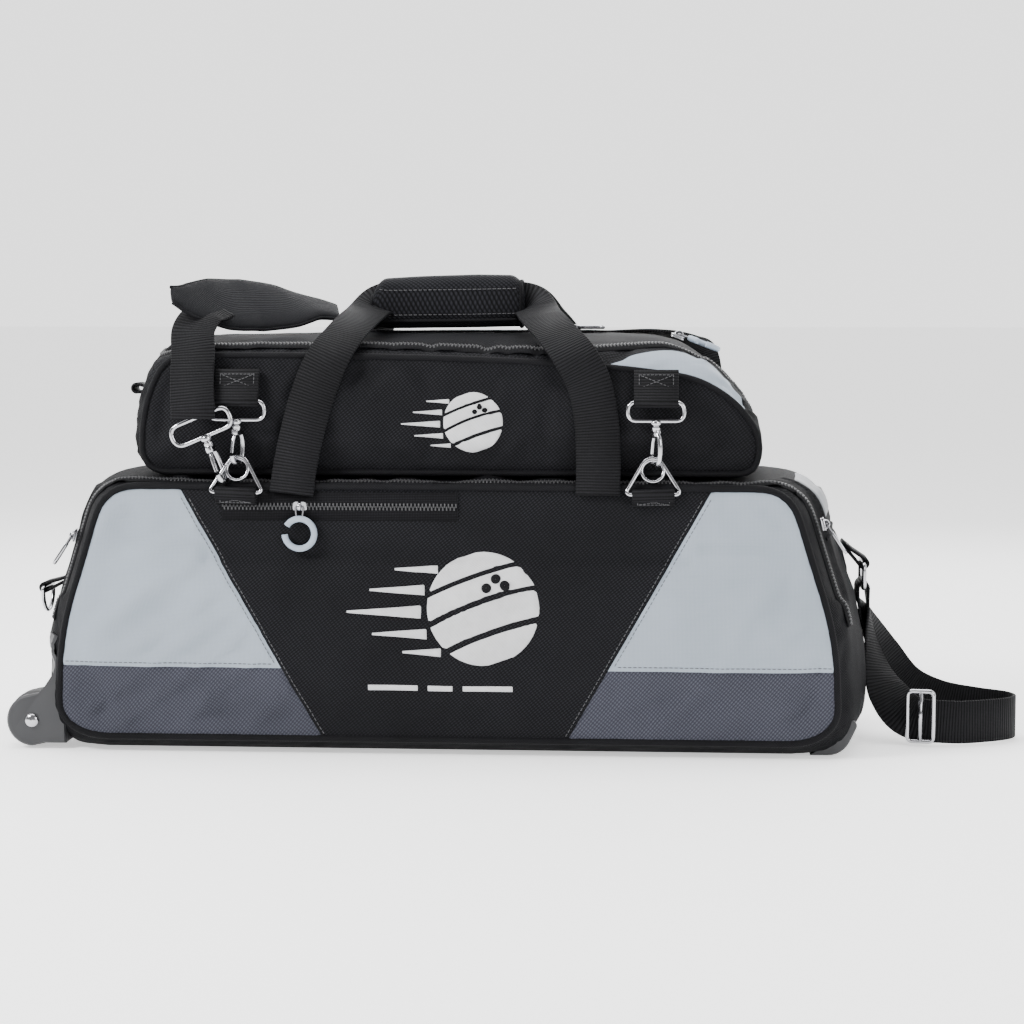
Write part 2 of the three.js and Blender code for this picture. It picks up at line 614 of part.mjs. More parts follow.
add('strap_web_long', band(longStops.map(([x, y, z]) => V(x, y, z)),
  longStops.map((s) => V(s[3], s[4], s[5])), WEB, WEB_THICK, 60), WEBBING());
slideAdjuster('strap_adjuster', V(118, 24, 367.4), 0.15, Math.PI / 2);

export default group;
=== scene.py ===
import math
import bpy
import bmesh
from mathutils import Matrix, Vector, noise
from mathutils.bvhtree import BVHTree
from mathutils.kdtree import KDTree


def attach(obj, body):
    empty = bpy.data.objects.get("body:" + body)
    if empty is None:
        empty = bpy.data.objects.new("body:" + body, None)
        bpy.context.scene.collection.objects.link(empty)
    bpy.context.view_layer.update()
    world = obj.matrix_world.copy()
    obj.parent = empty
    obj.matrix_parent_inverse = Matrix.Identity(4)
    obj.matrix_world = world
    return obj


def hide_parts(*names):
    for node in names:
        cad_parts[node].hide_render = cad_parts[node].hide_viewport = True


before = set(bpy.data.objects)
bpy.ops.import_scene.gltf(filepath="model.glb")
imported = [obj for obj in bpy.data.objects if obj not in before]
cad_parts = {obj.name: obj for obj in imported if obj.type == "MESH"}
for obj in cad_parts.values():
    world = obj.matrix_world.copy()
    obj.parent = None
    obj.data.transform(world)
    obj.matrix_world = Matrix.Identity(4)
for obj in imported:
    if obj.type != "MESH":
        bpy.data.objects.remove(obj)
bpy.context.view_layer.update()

MM = 0.001

# ---------------------------------------------------------------- camera, floor and light
def linked(name, data):
    obj = bpy.data.objects.new(name, data)
    bpy.context.collection.objects.link(obj)
    return obj


def aim(obj, target):
    obj.rotation_euler = (target - obj.location).to_track_quat("-Z", "Y").to_euler()


AZIMUTH, ELEVATION, DISTANCE = math.radians(4.0), math.radians(5.0), 2.225
TARGET = Vector((0.0500, 0.0, 0.2005))
cam = linked("camera", bpy.data.cameras.new("camera"))
cam.data.lens = 86.5
cam.data.sensor_width = 36
cam.location = TARGET + DISTANCE * Vector((
    math.sin(AZIMUTH) * math.cos(ELEVATION), -math.cos(AZIMUTH) * math.cos(ELEVATION), math.sin(ELEVATION)))
aim(cam, TARGET)
bpy.context.scene.camera = cam


def area_light(name, place, size, power, target=(0, 0, 0.18)):
    light = bpy.data.lights.new(name, "AREA")
    light.shape = "RECTANGLE"
    light.size, light.size_y = size
    light.energy = power
    obj = linked(name, light)
    obj.location = Vector(place)
    aim(obj, Vector(target))


area_light("key", (-1.5, -1.0, 1.5), (0.7, 0.6), 62)
area_light("fill", (1.6, -1.6, 1.0), (1.2, 1.0), 26)
area_light("top", (0.0, 0.1, 2.0), (2.0, 1.0), 40)
area_light("rim", (0.3, 1.6, 1.1), (1.8, 0.7), 20)

world = bpy.data.worlds.new("studio")
bpy.context.scene.world = world
world.use_nodes = True
sky = world.node_tree
direction = sky.nodes.new("ShaderNodeTexCoord")
parts = sky.nodes.new("ShaderNodeSeparateXYZ")
fade = sky.nodes.new("ShaderNodeMapRange")
fade.inputs["From Min"].default_value = -0.35
fade.inputs["From Max"].default_value = 0.35
fade.inputs["To Min"].default_value = 0.3
fade.inputs["To Max"].default_value = 2.1
sky.links.new(direction.outputs["Generated"], parts.inputs[0])
sky.links.new(parts.outputs["Y"], fade.inputs["Value"])
sky.links.new(fade.outputs[0], sky.nodes["Background"].inputs[1])
sky.nodes["Background"].inputs[0].default_value = (1, 1, 1, 1)


# ---------------------------------------------------------------- materials
def new_material(name):
    m = bpy.data.materials.new(name)
    m.use_nodes = True
    nt = m.node_tree
    return m, nt, nt.nodes["Principled BSDF"]


def node(nt, kind, **inputs):
    n = nt.nodes.new(kind)
    for key, value in inputs.items():
        if key in n.inputs:
            n.inputs[key].default_value = value
        else:
            setattr(n, key, value)
    return n


def link(nt, a, out, b, into):
    nt.links.new(a.outputs[out], b.inputs[into])


def maths(nt, operation, a, b=None):
    n = nt.nodes.new("ShaderNodeMath")
    n.operation = operation
    for i, v in enumerate((a, b)):
        if v is None:
            continue
        if isinstance(v, (int, float)):
            n.inputs[i].default_value = v
        else:
            nt.links.new(v, n.inputs[i])
    return n.outputs[0]


def bands(nt, coords, period, angle):
    """A 0 to 1 wave of that period in metres across the given coordinates."""
    turn = node(nt, "ShaderNodeMapping")
    turn.inputs["Rotation"].default_value = (0, 0, math.radians(angle))
    nt.links.new(coords, turn.inputs["Vector"])
    wave = node(nt, "ShaderNodeTexWave", Scale=math.pi / 10 / period)
    wave.inputs["Distortion"].default_value = 0
    link(nt, turn, 0, wave, "Vector")
    return wave.outputs["Fac"]


def ramp(nt, fac, stops):
    r = nt.nodes.new("ShaderNodeValToRGB")
    while len(r.color_ramp.elements) < len(stops):
        r.color_ramp.elements.new(0.5)
    for e, (at, colour) in zip(r.color_ramp.elements, stops):
        e.position = at
        e.color = (*colour, 1)
    nt.links.new(fac, r.inputs[0])
    return r.outputs[0]


def mix_colour(nt, fac, a, b, blend="MIX"):
    n = nt.nodes.new("ShaderNodeMix")
    n.data_type = "RGBA"
    n.blend_type = blend
    for socket, v in ((n.inputs[0], fac), (n.inputs[6], a), (n.inputs[7], b)):
        if isinstance(v, (int, float)):
            socket.default_value = v
        elif isinstance(v, tuple):
            socket.default_value = (*v, 1)
        else:
            nt.links.new(v, socket)
    return n.outputs[2]


def bump(nt, bsdf, height, strength, distance):
    b = node(nt, "ShaderNodeBump", Strength=strength, Distance=distance)
    nt.links.new(height, b.inputs["Height"])
    nt.links.new(b.outputs[0], bsdf.inputs["Normal"])


def clouds(nt, scale, detail):
    """Noise from 0 to 1 that stays with the object."""
    n = node(nt, "ShaderNodeTexNoise", Scale=scale, Detail=detail)
    link(nt, node(nt, "ShaderNodeTexCoord"), "Object", n, "Vector")
    return n.outputs["Fac"]


def surface_uv(nt):
    return node(nt, "ShaderNodeUVMap").outputs[0]


def weave(name, dark, light, pitch, angle=45, second=None, depth=0.00035, rough=0.72, dust_and_sheen=0.25,
          strength=0.8):
    """Woven fabric: two crossed sets of yarns with painted highlights on their crests and painted shade
    between them, a broad mottling of dust and painted sheen, and fine fuzz.
    """
    m, nt, bsdf = new_material(name)
    uv = surface_uv(nt)
    one = bands(nt, uv, pitch, angle)
    two = bands(nt, uv, second or pitch, angle - 90)
    crossed = maths(nt, "ADD", maths(nt, "MULTIPLY", two, 0.65), 0.35)
    yarn = maths(nt, "MULTIPLY", maths(nt, "POWER", one, 0.7), crossed)
    fuzz = clouds(nt, 900.0, 2.0)
    # yarn crests lighter than the gaps between them: a painted highlight on the crests and painted shade
    # between the yarns
    base = ramp(nt, yarn, [(0.05, dark), (0.85, light)])
    # broad mottling: dust together with a painted sheen
    dust_and_sheen_tone = ramp(nt, clouds(nt, 9.0, 3.0), [(0.3, (1 - dust_and_sheen,) * 3), (0.7, (1 + dust_and_sheen,) * 3)])
    nt.links.new(mix_colour(nt, 1.0, base, dust_and_sheen_tone, "MULTIPLY"), bsdf.inputs["Base Color"])
    bump(nt, bsdf, maths(nt, "ADD", yarn, maths(nt, "MULTIPLY", fuzz, 0.25)), strength, depth)
    roughness = maths(nt, "ADD", maths(nt, "MULTIPLY", fuzz, 0.2), rough - 0.1)
    nt.links.new(roughness, bsdf.inputs["Roughness"])
    bsdf.inputs["Specular IOR Level"].default_value = 0.1
    return m


def webbing(name, dark, light, rib=0.0026, yarn=0.0013):
    """Ribbed nylon webbing: ribs across the band and yarns along it, the rib crests a painted highlight and
    the grooves painted shade, with a broad mottling of dust and painted sheen.
    """
    m, nt, bsdf = new_material(name)
    uv = surface_uv(nt)
    ribs = bands(nt, uv, rib, 90)
    yarns = maths(nt, "MULTIPLY", bands(nt, uv, yarn, 0), 0.3)
    height = maths(nt, "ADD", maths(nt, "POWER", ribs, 0.6), yarns)
    # rib crests lighter than the grooves: painted highlight on the crests and painted shade in the grooves
    base = ramp(nt, height, [(0.2, dark), (1.1, light)])
    # broad mottling: dust together with a painted sheen
    dust_and_sheen_tone = ramp(nt, clouds(nt, 14.0, 3.0), [(0.3, (0.75,) * 3), (0.7, (1.25,) * 3)])
    nt.links.new(mix_colour(nt, 1.0, base, dust_and_sheen_tone, "MULTIPLY"), bsdf.inputs["Base Color"])
    bump(nt, bsdf, height, 0.9, 0.0005)
    nt.links.new(maths(nt, "SUBTRACT", 0.75, maths(nt, "MULTIPLY", ribs, 0.22)), bsdf.inputs["Roughness"])
    bsdf.inputs["Specular IOR Level"].default_value = 0.12
    return m


def hard(name, colour, rough, metal=0.0, grain=350.0, grain_depth=0.0001, wear=0.15, vary=0.2):
    """Moulded or plated surface with uneven gloss, fine grain and rubbed edges."""
    m, nt, bsdf = new_material(name)
    broad = clouds(nt, 45.0, 4.0)
    lo = tuple(c * (1 - vary) for c in colour)
    hi = tuple(min(1, c * (1 + vary)) for c in colour)
    worn = tuple(min(1, c * 1.8 + 0.05) for c in colour)
    base = ramp(nt, broad, [(0.3, lo), (0.7, hi)])
    edge = node(nt, "ShaderNodeNewGeometry").outputs["Pointiness"]
    rubbed = ramp(nt, edge, [(0.5, (0, 0, 0)), (0.56, (wear,) * 3)])
    nt.links.new(mix_colour(nt, rubbed, base, worn), bsdf.inputs["Base Color"])
    gloss = maths(nt, "ADD", maths(nt, "MULTIPLY", broad, 0.25), max(0.02, rough - 0.12))
    nt.links.new(gloss, bsdf.inputs["Roughness"])
    bsdf.inputs["Metallic"].default_value = metal
    bump(nt, bsdf, clouds(nt, grain, 3.0), 0.35, grain_depth)
    return m


def satin(name, colour, pitch=0.0006):
    """Satin-stitched thread: fine parallel filaments that catch the light along their length."""
    m, nt, bsdf = new_material(name)
    threads = bands(nt, surface_uv(nt), pitch * 1.8, 68)
    shade = maths(nt, "MULTIPLY", maths(nt, "ADD", threads, clouds(nt, 120.0, 3.0)), 0.6)
    lo = tuple(c * 0.62 for c in colour)
    nt.links.new(ramp(nt, shade, [(0.1, lo), (0.75, colour)]), bsdf.inputs["Base Color"])
    bump(nt, bsdf, threads, 0.7, 0.0003)
    bsdf.inputs["Roughness"].default_value = 0.42
    bsdf.inputs["Sheen Weight"].default_value = 0.2
    return m


BLACK = weave("black_ballistic", (0.0005, 0.0005, 0.0007), (0.0125, 0.0128, 0.0155), 0.0021, 52, 0.0030)
GUSSET = weave("black_gusset", (0.001, 0.001, 0.0013), (0.007, 0.0072, 0.009), 0.0016, 45)
LIGHT = weave("light_grey", (0.25, 0.29, 0.335), (0.32, 0.36, 0.41), 0.0011, 0, depth=0.00012, rough=0.55,
              dust_and_sheen=0.05, strength=0.4)
SLATE = weave("slate_grey", (0.024, 0.025, 0.034), (0.066, 0.068, 0.086), 0.0022, 40, 0.0030, dust_and_sheen=0.12)
PIPING = weave("piping_cloth", (0.0012, 0.0012, 0.0015), (0.009, 0.009, 0.011), 0.0012, 30, rough=0.65)
WEB = webbing("webbing_black", (0.0006, 0.0006, 0.0008), (0.0068, 0.0068, 0.0082))
ZIP_TAPE = weave("zip_tape", (0.001, 0.001, 0.0012), (0.010, 0.010, 0.012), 0.0014, 0, rough=0.8)
PAD_CLOTH = weave("pad_cloth", (0.002, 0.002, 0.0025), (0.010, 0.0105, 0.013), 0.0013, 0, rough=0.68)
GRIP_CLOTH = weave("grip_cloth", (0.0012, 0.0012, 0.0016), (0.016, 0.0165, 0.020), 0.0030, 45)
NICKEL = hard("nickel_plate", (0.42, 0.42, 0.44), 0.16, 1.0, 500.0, 0.00003, 0.1, 0.08)
GUNMETAL = hard("gunmetal", (0.16, 0.16, 0.17), 0.22, 1.0, 500.0, 0.00003, 0.2, 0.1)
MOULDED = hard("moulded_charcoal", (0.0115, 0.012, 0.014), 0.48, 0.0, 900.0, 0.00012, 0.2, 0.15)
TYRE = hard("wheel_black", (0.012, 0.012, 0.014), 0.5, 0.0, 700.0, 0.0001, 0.15, 0.2)
RUBBER = hard("ring_rubber", (0.28, 0.33, 0.39), 0.5, 0.0, 800.0, 0.00008, 0.05, 0.06)
COIL = hard("zip_coil", (0.014, 0.014, 0.016), 0.42, 0.0, 900.0, 0.00005, 0.3, 0.1)
BOARD = hard("board_plastic", (0.05, 0.05, 0.052), 0.6, 0.0, 300.0, 0.0002, 0.1, 0.2)
FOAM = hard("foam_black", (0.02, 0.02, 0.024), 0.9, 0.0, 1600.0, 0.0005, 0.1, 0.3)
WINDOW = hard("clear_window", (0.12, 0.13, 0.145), 0.35, 0.0, 60.0, 0.0004, 0.1, 0.2)
SILVER = satin("silver_thread", (0.62, 0.62, 0.63))
THREAD_DARK = satin("thread_dark", (0.05, 0.05, 0.055))


# ---------------------------------------------------------------- curves and mesh building
def quad_corner(p, c, q, steps):
    return [(1 - t) ** 2 * p + 2 * t * (1 - t) * c + t * t * q for t in (i / steps for i in range(steps + 1))]


def rounded(corners, steps=8):
    """Corner points [x, z, radius] as a closed polyline with eased corners."""
    out, n = [], len(corners)
    for i, (x, z, r) in enumerate(corners):
        c = Vector((x, z))
        a = Vector(corners[i - 1][:2]) - c
        b = Vector(corners[(i + 1) % n][:2]) - c
        reach = min(r, a.length * 0.48, b.length * 0.48)
        out += quad_corner(c + a.normalized() * reach, c, c + b.normalized() * reach, steps)
    return out


def even(points, count, closed=False):
    """The polyline again with count evenly spaced points."""
    pts = [Vector(p) for p in points]
    if closed:
        pts.append(pts[0].copy())
    lengths = [0.0]
    for a, b in zip(pts, pts[1:]):
        lengths.append(lengths[-1] + (b - a).length)
    out, k = [], 0
    steps = count if closed else count - 1
    for i in range(count):
        want = lengths[-1] * i / steps
        while k < len(pts) - 2 and lengths[k + 1] < want:
            k += 1
        span = lengths[k + 1] - lengths[k]
        f = 0 if span == 0 else (want - lengths[k]) / span
        out.append(pts[k].lerp(pts[k + 1], min(1, max(0, f))))
    return out


def catmull(points, per=12, closed=False, extra=None):
    """Centripetal curve through the points; extra values are carried along with them."""
    P = [Vector(p) for p in points]
    E = [Vector(e) for e in extra] if extra else None
    n = len(P)
    out, out_e = [], []
    spans = n if closed else n - 1

    def at(seq, i):
        if closed:
            return seq[i % n]
        if i < 0:
            return seq[0] * 2 - seq[1]
        if i >= n:
            return seq[-1] * 2 - seq[-2]
        return seq[i]

    for i in range(spans):
        p = [at(P, i + k) for k in (-1, 0, 1, 2)]
        t = [0.0]
        for a, b in zip(p, p[1:]):
            t.append(t[-1] + max(1e-6, (b - a).length) ** 0.5)
        for s in range(per if i < spans - 1 or closed else per + 1):
            u = s / per
            w = t[1] + (t[2] - t[1]) * u
            a1 = p[0].lerp(p[1], (w - t[0]) / (t[1] - t[0]))
            a2 = p[1].lerp(p[2], (w - t[1]) / (t[2] - t[1]))
            a3 = p[2].lerp(p[3], (w - t[2]) / (t[3] - t[2]))
            b1 = a1.lerp(a2, (w - t[0]) / (t[2] - t[0]))
            b2 = a2.lerp(a3, (w - t[1]) / (t[3] - t[1]))
            out.append(b1.lerp(b2, (w - t[1]) / (t[2] - t[1])))
            if E:
                out_e.append(at(E, i).lerp(at(E, i + 1), u).normalized())
    return (out, out_e) if E else out


def turns(sides):
    """Even angles round a circle."""
    return [2 * math.pi * k / sides for k in range(sides)]


class Build:
    """Collects geometry in millimetres and turns it into one piece."""

    def __init__(self):
        self.verts, self.faces, self.uvs, self.mats = [], [], [], []

    def grid(self, rows, uv_rows, wrap=False, mat=0, flip=False):
        n, start = len(rows[0]), len(self.verts)
        for row in rows:
            self.verts += [Vector(p) for p in row]
        for i in range(len(rows) - 1):
            for j in range(n if wrap else n - 1):
                k = (j + 1) % n
                f = [start + i * n + j, start + i * n + k, start + (i + 1) * n + k, start + (i + 1) * n + j]
                u = [uv_rows[i][j], uv_rows[i][j + 1], uv_rows[i + 1][j + 1], uv_rows[i + 1][j]]
                if flip:
                    f.reverse()
                    u.reverse()
                self.faces.append(f)
                self.uvs.append(u)
                self.mats.append(mat)

    def cap(self, ring, mat=0, flip=False):
        start = len(self.verts)
        self.verts += [Vector(p) for p in ring]
        f = list(range(start, start + len(ring)))
        uv = [(p[0], p[2]) for p in ring]
        if flip:
            f.reverse()
            uv.reverse()
        self.faces.append(f)
        self.uvs.append(uv)
        self.mats.append(mat)

    def sweep(self, path, normals, section, closed=False, mat=0):
        """A section of (across, outward) points along a path in millimetres."""
        count = len(path)
        rings, v = [], 0.0
        rounds = [0.0]
        for a, b in zip(section, section[1:] + section[:1]):
            rounds.append(rounds[-1] + math.hypot(b[0] - a[0], b[1] - a[1]))
        uv_rows = []
        for i, p in enumerate(path):
            before = path[i - 1] if i or closed else path[0]
            after = path[(i + 1) % count] if i < count - 1 or closed else path[-1]
            along = (after - before).normalized()
            given = normals[i] if isinstance(normals, list) else normals
            out = given - along * given.dot(along)
            out = out.normalized() if out.length > 1e-6 else along.orthogonal().normalized()
            across = along.cross(out)
            rings.append([p + across * a + out * b for a, b in section])
            if i:
                v += (p - path[i - 1]).length
            uv_rows.append([(r, v) for r in rounds])
        if closed:
            rings.append(rings[0])
            v += (path[0] - path[-1]).length
            uv_rows.append([(r, v) for r in rounds])
        self.grid(rings, uv_rows, wrap=True, mat=mat, flip=True)
        if not closed:
            self.cap(rings[0], mat)
            self.cap(rings[-1], mat, flip=True)

    def tube(self, path, radius, closed=False, sides=10, mat=0):
        """A round wire with a frame carried along it without twist."""
        path = [Vector(p) for p in path]
        count = len(path)
        tangents = []
        for i in range(count):
            before = path[i - 1] if i or closed else path[0]
            after = path[(i + 1) % count] if i < count - 1 or closed else path[-1]
            tangents.append((after - before).normalized())
        n = tangents[0].orthogonal()
        normals = []
        for t in tangents:
            n = n - t * n.dot(t)
            n.normalize()
            normals.append(n.copy())
        section = [(radius * math.cos(a), radius * math.sin(a))
                   for a in turns(sides)]
        if closed:
            drift = normals[-1].copy()
            drift -= tangents[0] * drift.dot(tangents[0])
            angle = math.atan2(tangents[0].dot(normals[0].cross(drift)), normals[0].dot(drift))
            normals = [Matrix.Rotation(-angle * i / count, 3, tangents[i]) @ m for i, m in enumerate(normals)]
        self.sweep(path, normals, section, closed, mat)

    def lathe(self, profile, matrix, sides=32, mat=0):
        """Profile of (radius, height) turned about the local Z axis."""
        rows, uv_rows, v = [], [], 0.0
        for i, (r, h) in enumerate(profile):
            if i:
                v += math.hypot(r - profile[i - 1][0], h - profile[i - 1][1])
            rows.append([matrix @ Vector((r * math.cos(a), r * math.sin(a), h)) for a in turns(sides)])
            uv_rows.append([(2 * math.pi * max(r, 1) * k / sides, v) for k in range(sides + 1)])
        self.grid(rows, uv_rows, wrap=True, mat=mat)

    def prism(self, outline, y0, y1, matrix=None, mat=0, ease=0.0):
        """XZ outline between two Y planes, its rims eased by a small chamfer."""
        matrix = matrix or Matrix()
        centre = sum((Vector(p) for p in outline), Vector((0, 0))) / len(outline)

        def ring(y, inset):
            out = []
            for p in outline:
                d = Vector(p) - centre
                q = Vector(p) - d.normalized() * inset if d.length > 1e-6 else Vector(p)
                out.append(matrix @ Vector((q.x, y, q.y)))
            return out

        levels = [(y0, ease), (y0 + ease, 0), (y1 - ease, 0), (y1, ease)] if ease else [(y0, 0), (y1, 0)]
        rows = [ring(y, inset) for y, inset in levels]
        around = [0.0]
        for a, b in zip(outline, list(outline[1:]) + [outline[0]]):
            around.append(around[-1] + math.hypot(b[0] - a[0], b[1] - a[1]))
        uv_rows = [[(r, i * 3.0) for r in around] for i in range(len(rows))]
        self.grid(rows, uv_rows, wrap=True, mat=mat)
        self.cap(rows[0], mat, flip=True)
        self.cap(rows[-1], mat)

    def make(self, name, mats, body, replaces=(), merge=True, angle=None):
        mats = mats if isinstance(mats, (list, tuple)) else [mats]
        mesh = bpy.data.meshes.new(name)
        mesh.from_pydata([v * MM for v in self.verts], [], self.faces)
        layer = mesh.uv_layers.new(name="UVMap")
        for poly, uv, mat in zip(mesh.polygons, self.uvs, self.mats):
            for c in range(poly.loop_total):
                layer.data[poly.loop_start + c].uv = (uv[c][0] * MM, uv[c][1] * MM)
            poly.material_index = mat
            poly.use_smooth = True
        for m in mats:
            mesh.materials.append(m)
        bm = bmesh.new()
        bm.from_mesh(mesh)
        if merge:
            bmesh.ops.remove_doubles(bm, verts=bm.verts, dist=0.00001)
            bmesh.ops.dissolve_degenerate(bm, edges=bm.edges, dist=0.000001)
        bmesh.ops.recalc_face_normals(bm, faces=bm.faces)
        bm.to_mesh(mesh)
        bm.free()
        if angle:
            mesh.set_sharp_from_angle(angle=math.radians(angle))
        obj = linked(name, mesh)
        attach(obj, body)
        if replaces:
            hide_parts(*replaces)
        return obj


def subdivide(obj):
    m = obj.modifiers.new("subdivision", "SUBSURF")
    m.levels = m.render_levels = 1
    m.boundary_smooth = "PRESERVE_CORNERS"


def band_section(width, thick):
    """A webbing section with slightly rounded woven edges."""
    w, t = width / 2, thick / 2
    return [(-w + t * 0.5, -t), (0, -t), (w - t * 0.5, -t), (w, -t * 0.3), (w, t * 0.3),
            (w - t * 0.5, t), (0, t), (-w + t * 0.5, t), (-w, t * 0.3), (-w, -t * 0.3)]


def tree_of(*objs):
    verts, polys = [], []
    for o in objs:
        base = len(verts)
        verts += [v.co.copy() for v in o.data.vertices]
        polys += [tuple(base + i for i in p.vertices) for p in o.data.polygons]
    return BVHTree.FromPolygons(verts, polys)


def cast(tree, origin, direction, lift=0.0, reach=400):
    """Where a ray in millimetres meets a surface, lifted off it along the normal."""
    d = Vector(direction).normalized()
    place, normal, _, _ = tree.ray_cast(Vector(origin) * MM, d, reach * MM)
    if place is None:
        return None, None
    if normal.dot(d) > 0:
        normal = -normal
    return place / MM + normal * lift, normal


# ---------------------------------------------------------------- soft bodies
def remeshed(obj, voxel):
    m = obj.modifiers.new("even_mesh", "REMESH")
    m.mode = "VOXEL"
    m.voxel_size = voxel * MM
    bake(obj)


def bake(obj):
    """Applies the modifiers by taking the evaluated mesh."""
    bpy.context.view_layer.update()
    depsgraph = bpy.context.evaluated_depsgraph_get()
    mesh = bpy.data.meshes.new_from_object(obj.evaluated_get(depsgraph))
    obj.modifiers.clear()
    old = obj.data
    obj.data = mesh
    bpy.data.meshes.remove(old)


def move_all(obj, shifts):
    for v, d in zip(obj.data.vertices, shifts):
        v.co += d


def fill_out(obj, hold, limit, pressure=4.0, grow=0.03, steps=20):
    """Cloth under slight pressure, held where hold says 1; no point moves further than limit says."""
    rest = [v.co.copy() for v in obj.data.vertices]
    group = obj.vertex_groups.new(name="held")
    for v in obj.data.vertices:
        w = hold(v.co / MM)
        if w > 0:
            group.add([v.index], w, "REPLACE")
    m = obj.modifiers.new("cloth", "CLOTH")
    s = m.settings
    s.quality = 4
    s.mass = 0.25
    s.tension_stiffness = s.compression_stiffness = 12
    s.shear_stiffness = 6
    s.bending_stiffness = 0.6
    s.vertex_group_mass = "held"
    s.use_pressure = True
    s.uniform_pressure_force = pressure
    s.shrink_min = -grow
    s.effector_weights.gravity = 0
    m.collision_settings.use_collision = False
    m.collision_settings.use_self_collision = False
    m.point_cache.frame_start = 1
    m.point_cache.frame_end = steps
    scene = bpy.context.scene
    for f in range(1, steps + 1):
        scene.frame_set(f)
    depsgraph = bpy.context.evaluated_depsgraph_get()
    settled = [v.co.copy() for v in obj.evaluated_get(depsgraph).data.vertices]
    obj.modifiers.clear()
    scene.frame_set(1)
    for v, old, new in zip(obj.data.vertices, rest, settled):
        d = new - old
        most = limit(old / MM) * MM
        if d.length > most:
            d *= most / d.length
        v.co = old + d


def smoothed(obj, steps, strength=0.5):
    m = obj.modifiers.new("even_out", "SMOOTH")
    m.factor = strength
    m.iterations = steps
    bake(obj)


def cut(obj, point, normal, where):
    """Cuts the faces where() chooses, along a plane, so that colours can meet on a clean line."""
    bm = bmesh.new()
    bm.from_mesh(obj.data)
    faces = [f for f in bm.faces if where(f.calc_center_median() / MM)]
    verts = {v for f in faces for v in f.verts}
    edges = {e for f in faces for e in f.edges}
    bmesh.ops.bisect_plane(bm, geom=list(verts) + list(edges) + faces, dist=0.00005,
                           plane_co=Vector(point) * MM, plane_no=Vector(normal))
    bm.to_mesh(obj.data)
    bm.free()


def paint(obj, mats, choose, unwrap):
    """Materials for each face by its place, and UVs, in metres, by its normal."""
    mesh = obj.data
    mesh.materials.clear()
    for m in mats:
        mesh.materials.append(m)
    layer = mesh.uv_layers.get("UVMap") or mesh.uv_layers.new(name="UVMap")
    for poly in mesh.polygons:
        poly.material_index = choose(poly.center / MM)
        poly.use_smooth = True
        for k in poly.loop_indices:
            layer.data[k].uv = unwrap(mesh.vertices[mesh.loops[k].vertex_index].co, poly.normal)


def loft(name, rings):
    build = Build()
    around = list(range(len(rings[0]) + 1))
    build.grid(rings, [[(k, i) for k in around] for i in range(len(rings))], wrap=True)
    build.cap(rings[0], flip=True)
    build.cap(rings[-1])
    mesh = bpy.data.meshes.new(name)
    mesh.from_pydata([v * MM for v in build.verts], [], build.faces)
    bm = bmesh.new()
    bm.from_mesh(mesh)
    bmesh.ops.remove_doubles(bm, verts=bm.verts, dist=0.00001)
    bmesh.ops.recalc_face_normals(bm, faces=bm.faces)
    bmesh.ops.triangulate(bm, faces=[f for f in bm.faces if len(f.verts) > 4])
    bm.to_mesh(mesh)
    bm.free()
    return linked(name, mesh)


def smoothstep(a, b, x):
    t = min(1, max(0, (x - a) / (b - a)))
    return t * t * (3 - 2 * t)


# ---------------------------------------------------------------- tote body
TOTE_DEPTH, TOTE_BULGE, TOTE_DOME, TOTE_HALF, FOOT_ROLL = 122, 27, 5, 341, 11
PANEL_Y = 118.7
TOTE_CORNERS = [
    [-TOTE_HALF, 0, 44], [-337, 104, 60], [-314, 176, 60], [-297, 234, 50],
    [297, 234, 50], [314, 176, 60], [337, 104, 60], [TOTE_HALF, 0, 44]]
TOTE_OUTLINE = even(rounded(TOTE_CORNERS, 8), 220, closed=True)


def tote_ring(s, inset=0.0):
    """One section of the body: fuller at mid-depth, its foot rolling up towards the panels."""
    wide = (TOTE_HALF + TOTE_BULGE * (1 - s * s) - inset) / TOTE_HALF
    dome = TOTE_DOME * (1 - s * s)
    roll = FOOT_ROLL * smoothstep(0.8, 1.0, abs(s)) + inset
    out = []
    for p in TOTE_OUTLINE:
        foot = (1 - smoothstep(0, 60, p.y)) * roll
        top = smoothstep(180, 225, p.y) * (dome - inset)
        out.append(Vector((p.x * wide, s * TOTE_DEPTH, p.y + top + foot)))
    return out


def near_outline(points):
    tree = KDTree(len(points))
    for i, p in enumerate(points):
        tree.insert((p.x, 0, p.z), i)
    tree.balance()
    return tree


def edge_distance(x, z, outline):
    return outline.find((x, 0, z))[2]


FRONT_OUTLINE = near_outline(tote_ring(-1, 3))


def tote_hold(p):
    flat = smoothstep(108, 121, abs(p.y))
    rim = 1 - smoothstep(2, 9, edge_distance(p.x, p.z, FRONT_OUTLINE)) if abs(p.y) > 110 else 0
    under = 1 - smoothstep(1, 14, p.z)
    wheel = (1 - smoothstep(-318, -300, p.x)) * (1 - smoothstep(66, 90, p.z))
    return max(flat * rim, under, 0.9 * wheel)


def zipper_zone(p):
    """1 where a zipper's slider has to run freely over the fabric."""
    pocket = smoothstep(158, 174, p.z) * (1 - smoothstep(198, 225, abs(p.x))) if p.y < -112 else 0
    beside = 1 - smoothstep(14, 26, abs(p.y + 92))
    return max(pocket, smoothstep(292, 302, abs(p.x)) * smoothstep(125, 140, p.z) * beside)


def tote_limit(p):
    if zipper_zone(p) > 0.5:
        return 0.3
    if abs(p.y) > 112:
        gap = edge_distance(p.x, p.z, FRONT_OUTLINE)
        most = 5.5 * smoothstep(0, 60, gap)
        if p.z > 180:
            most = min(most, 1.5)
        return most + 0.15
    if p.z > 225:
        return 1.0
    if p.z < 12:
        return 0.2
    return 3.5


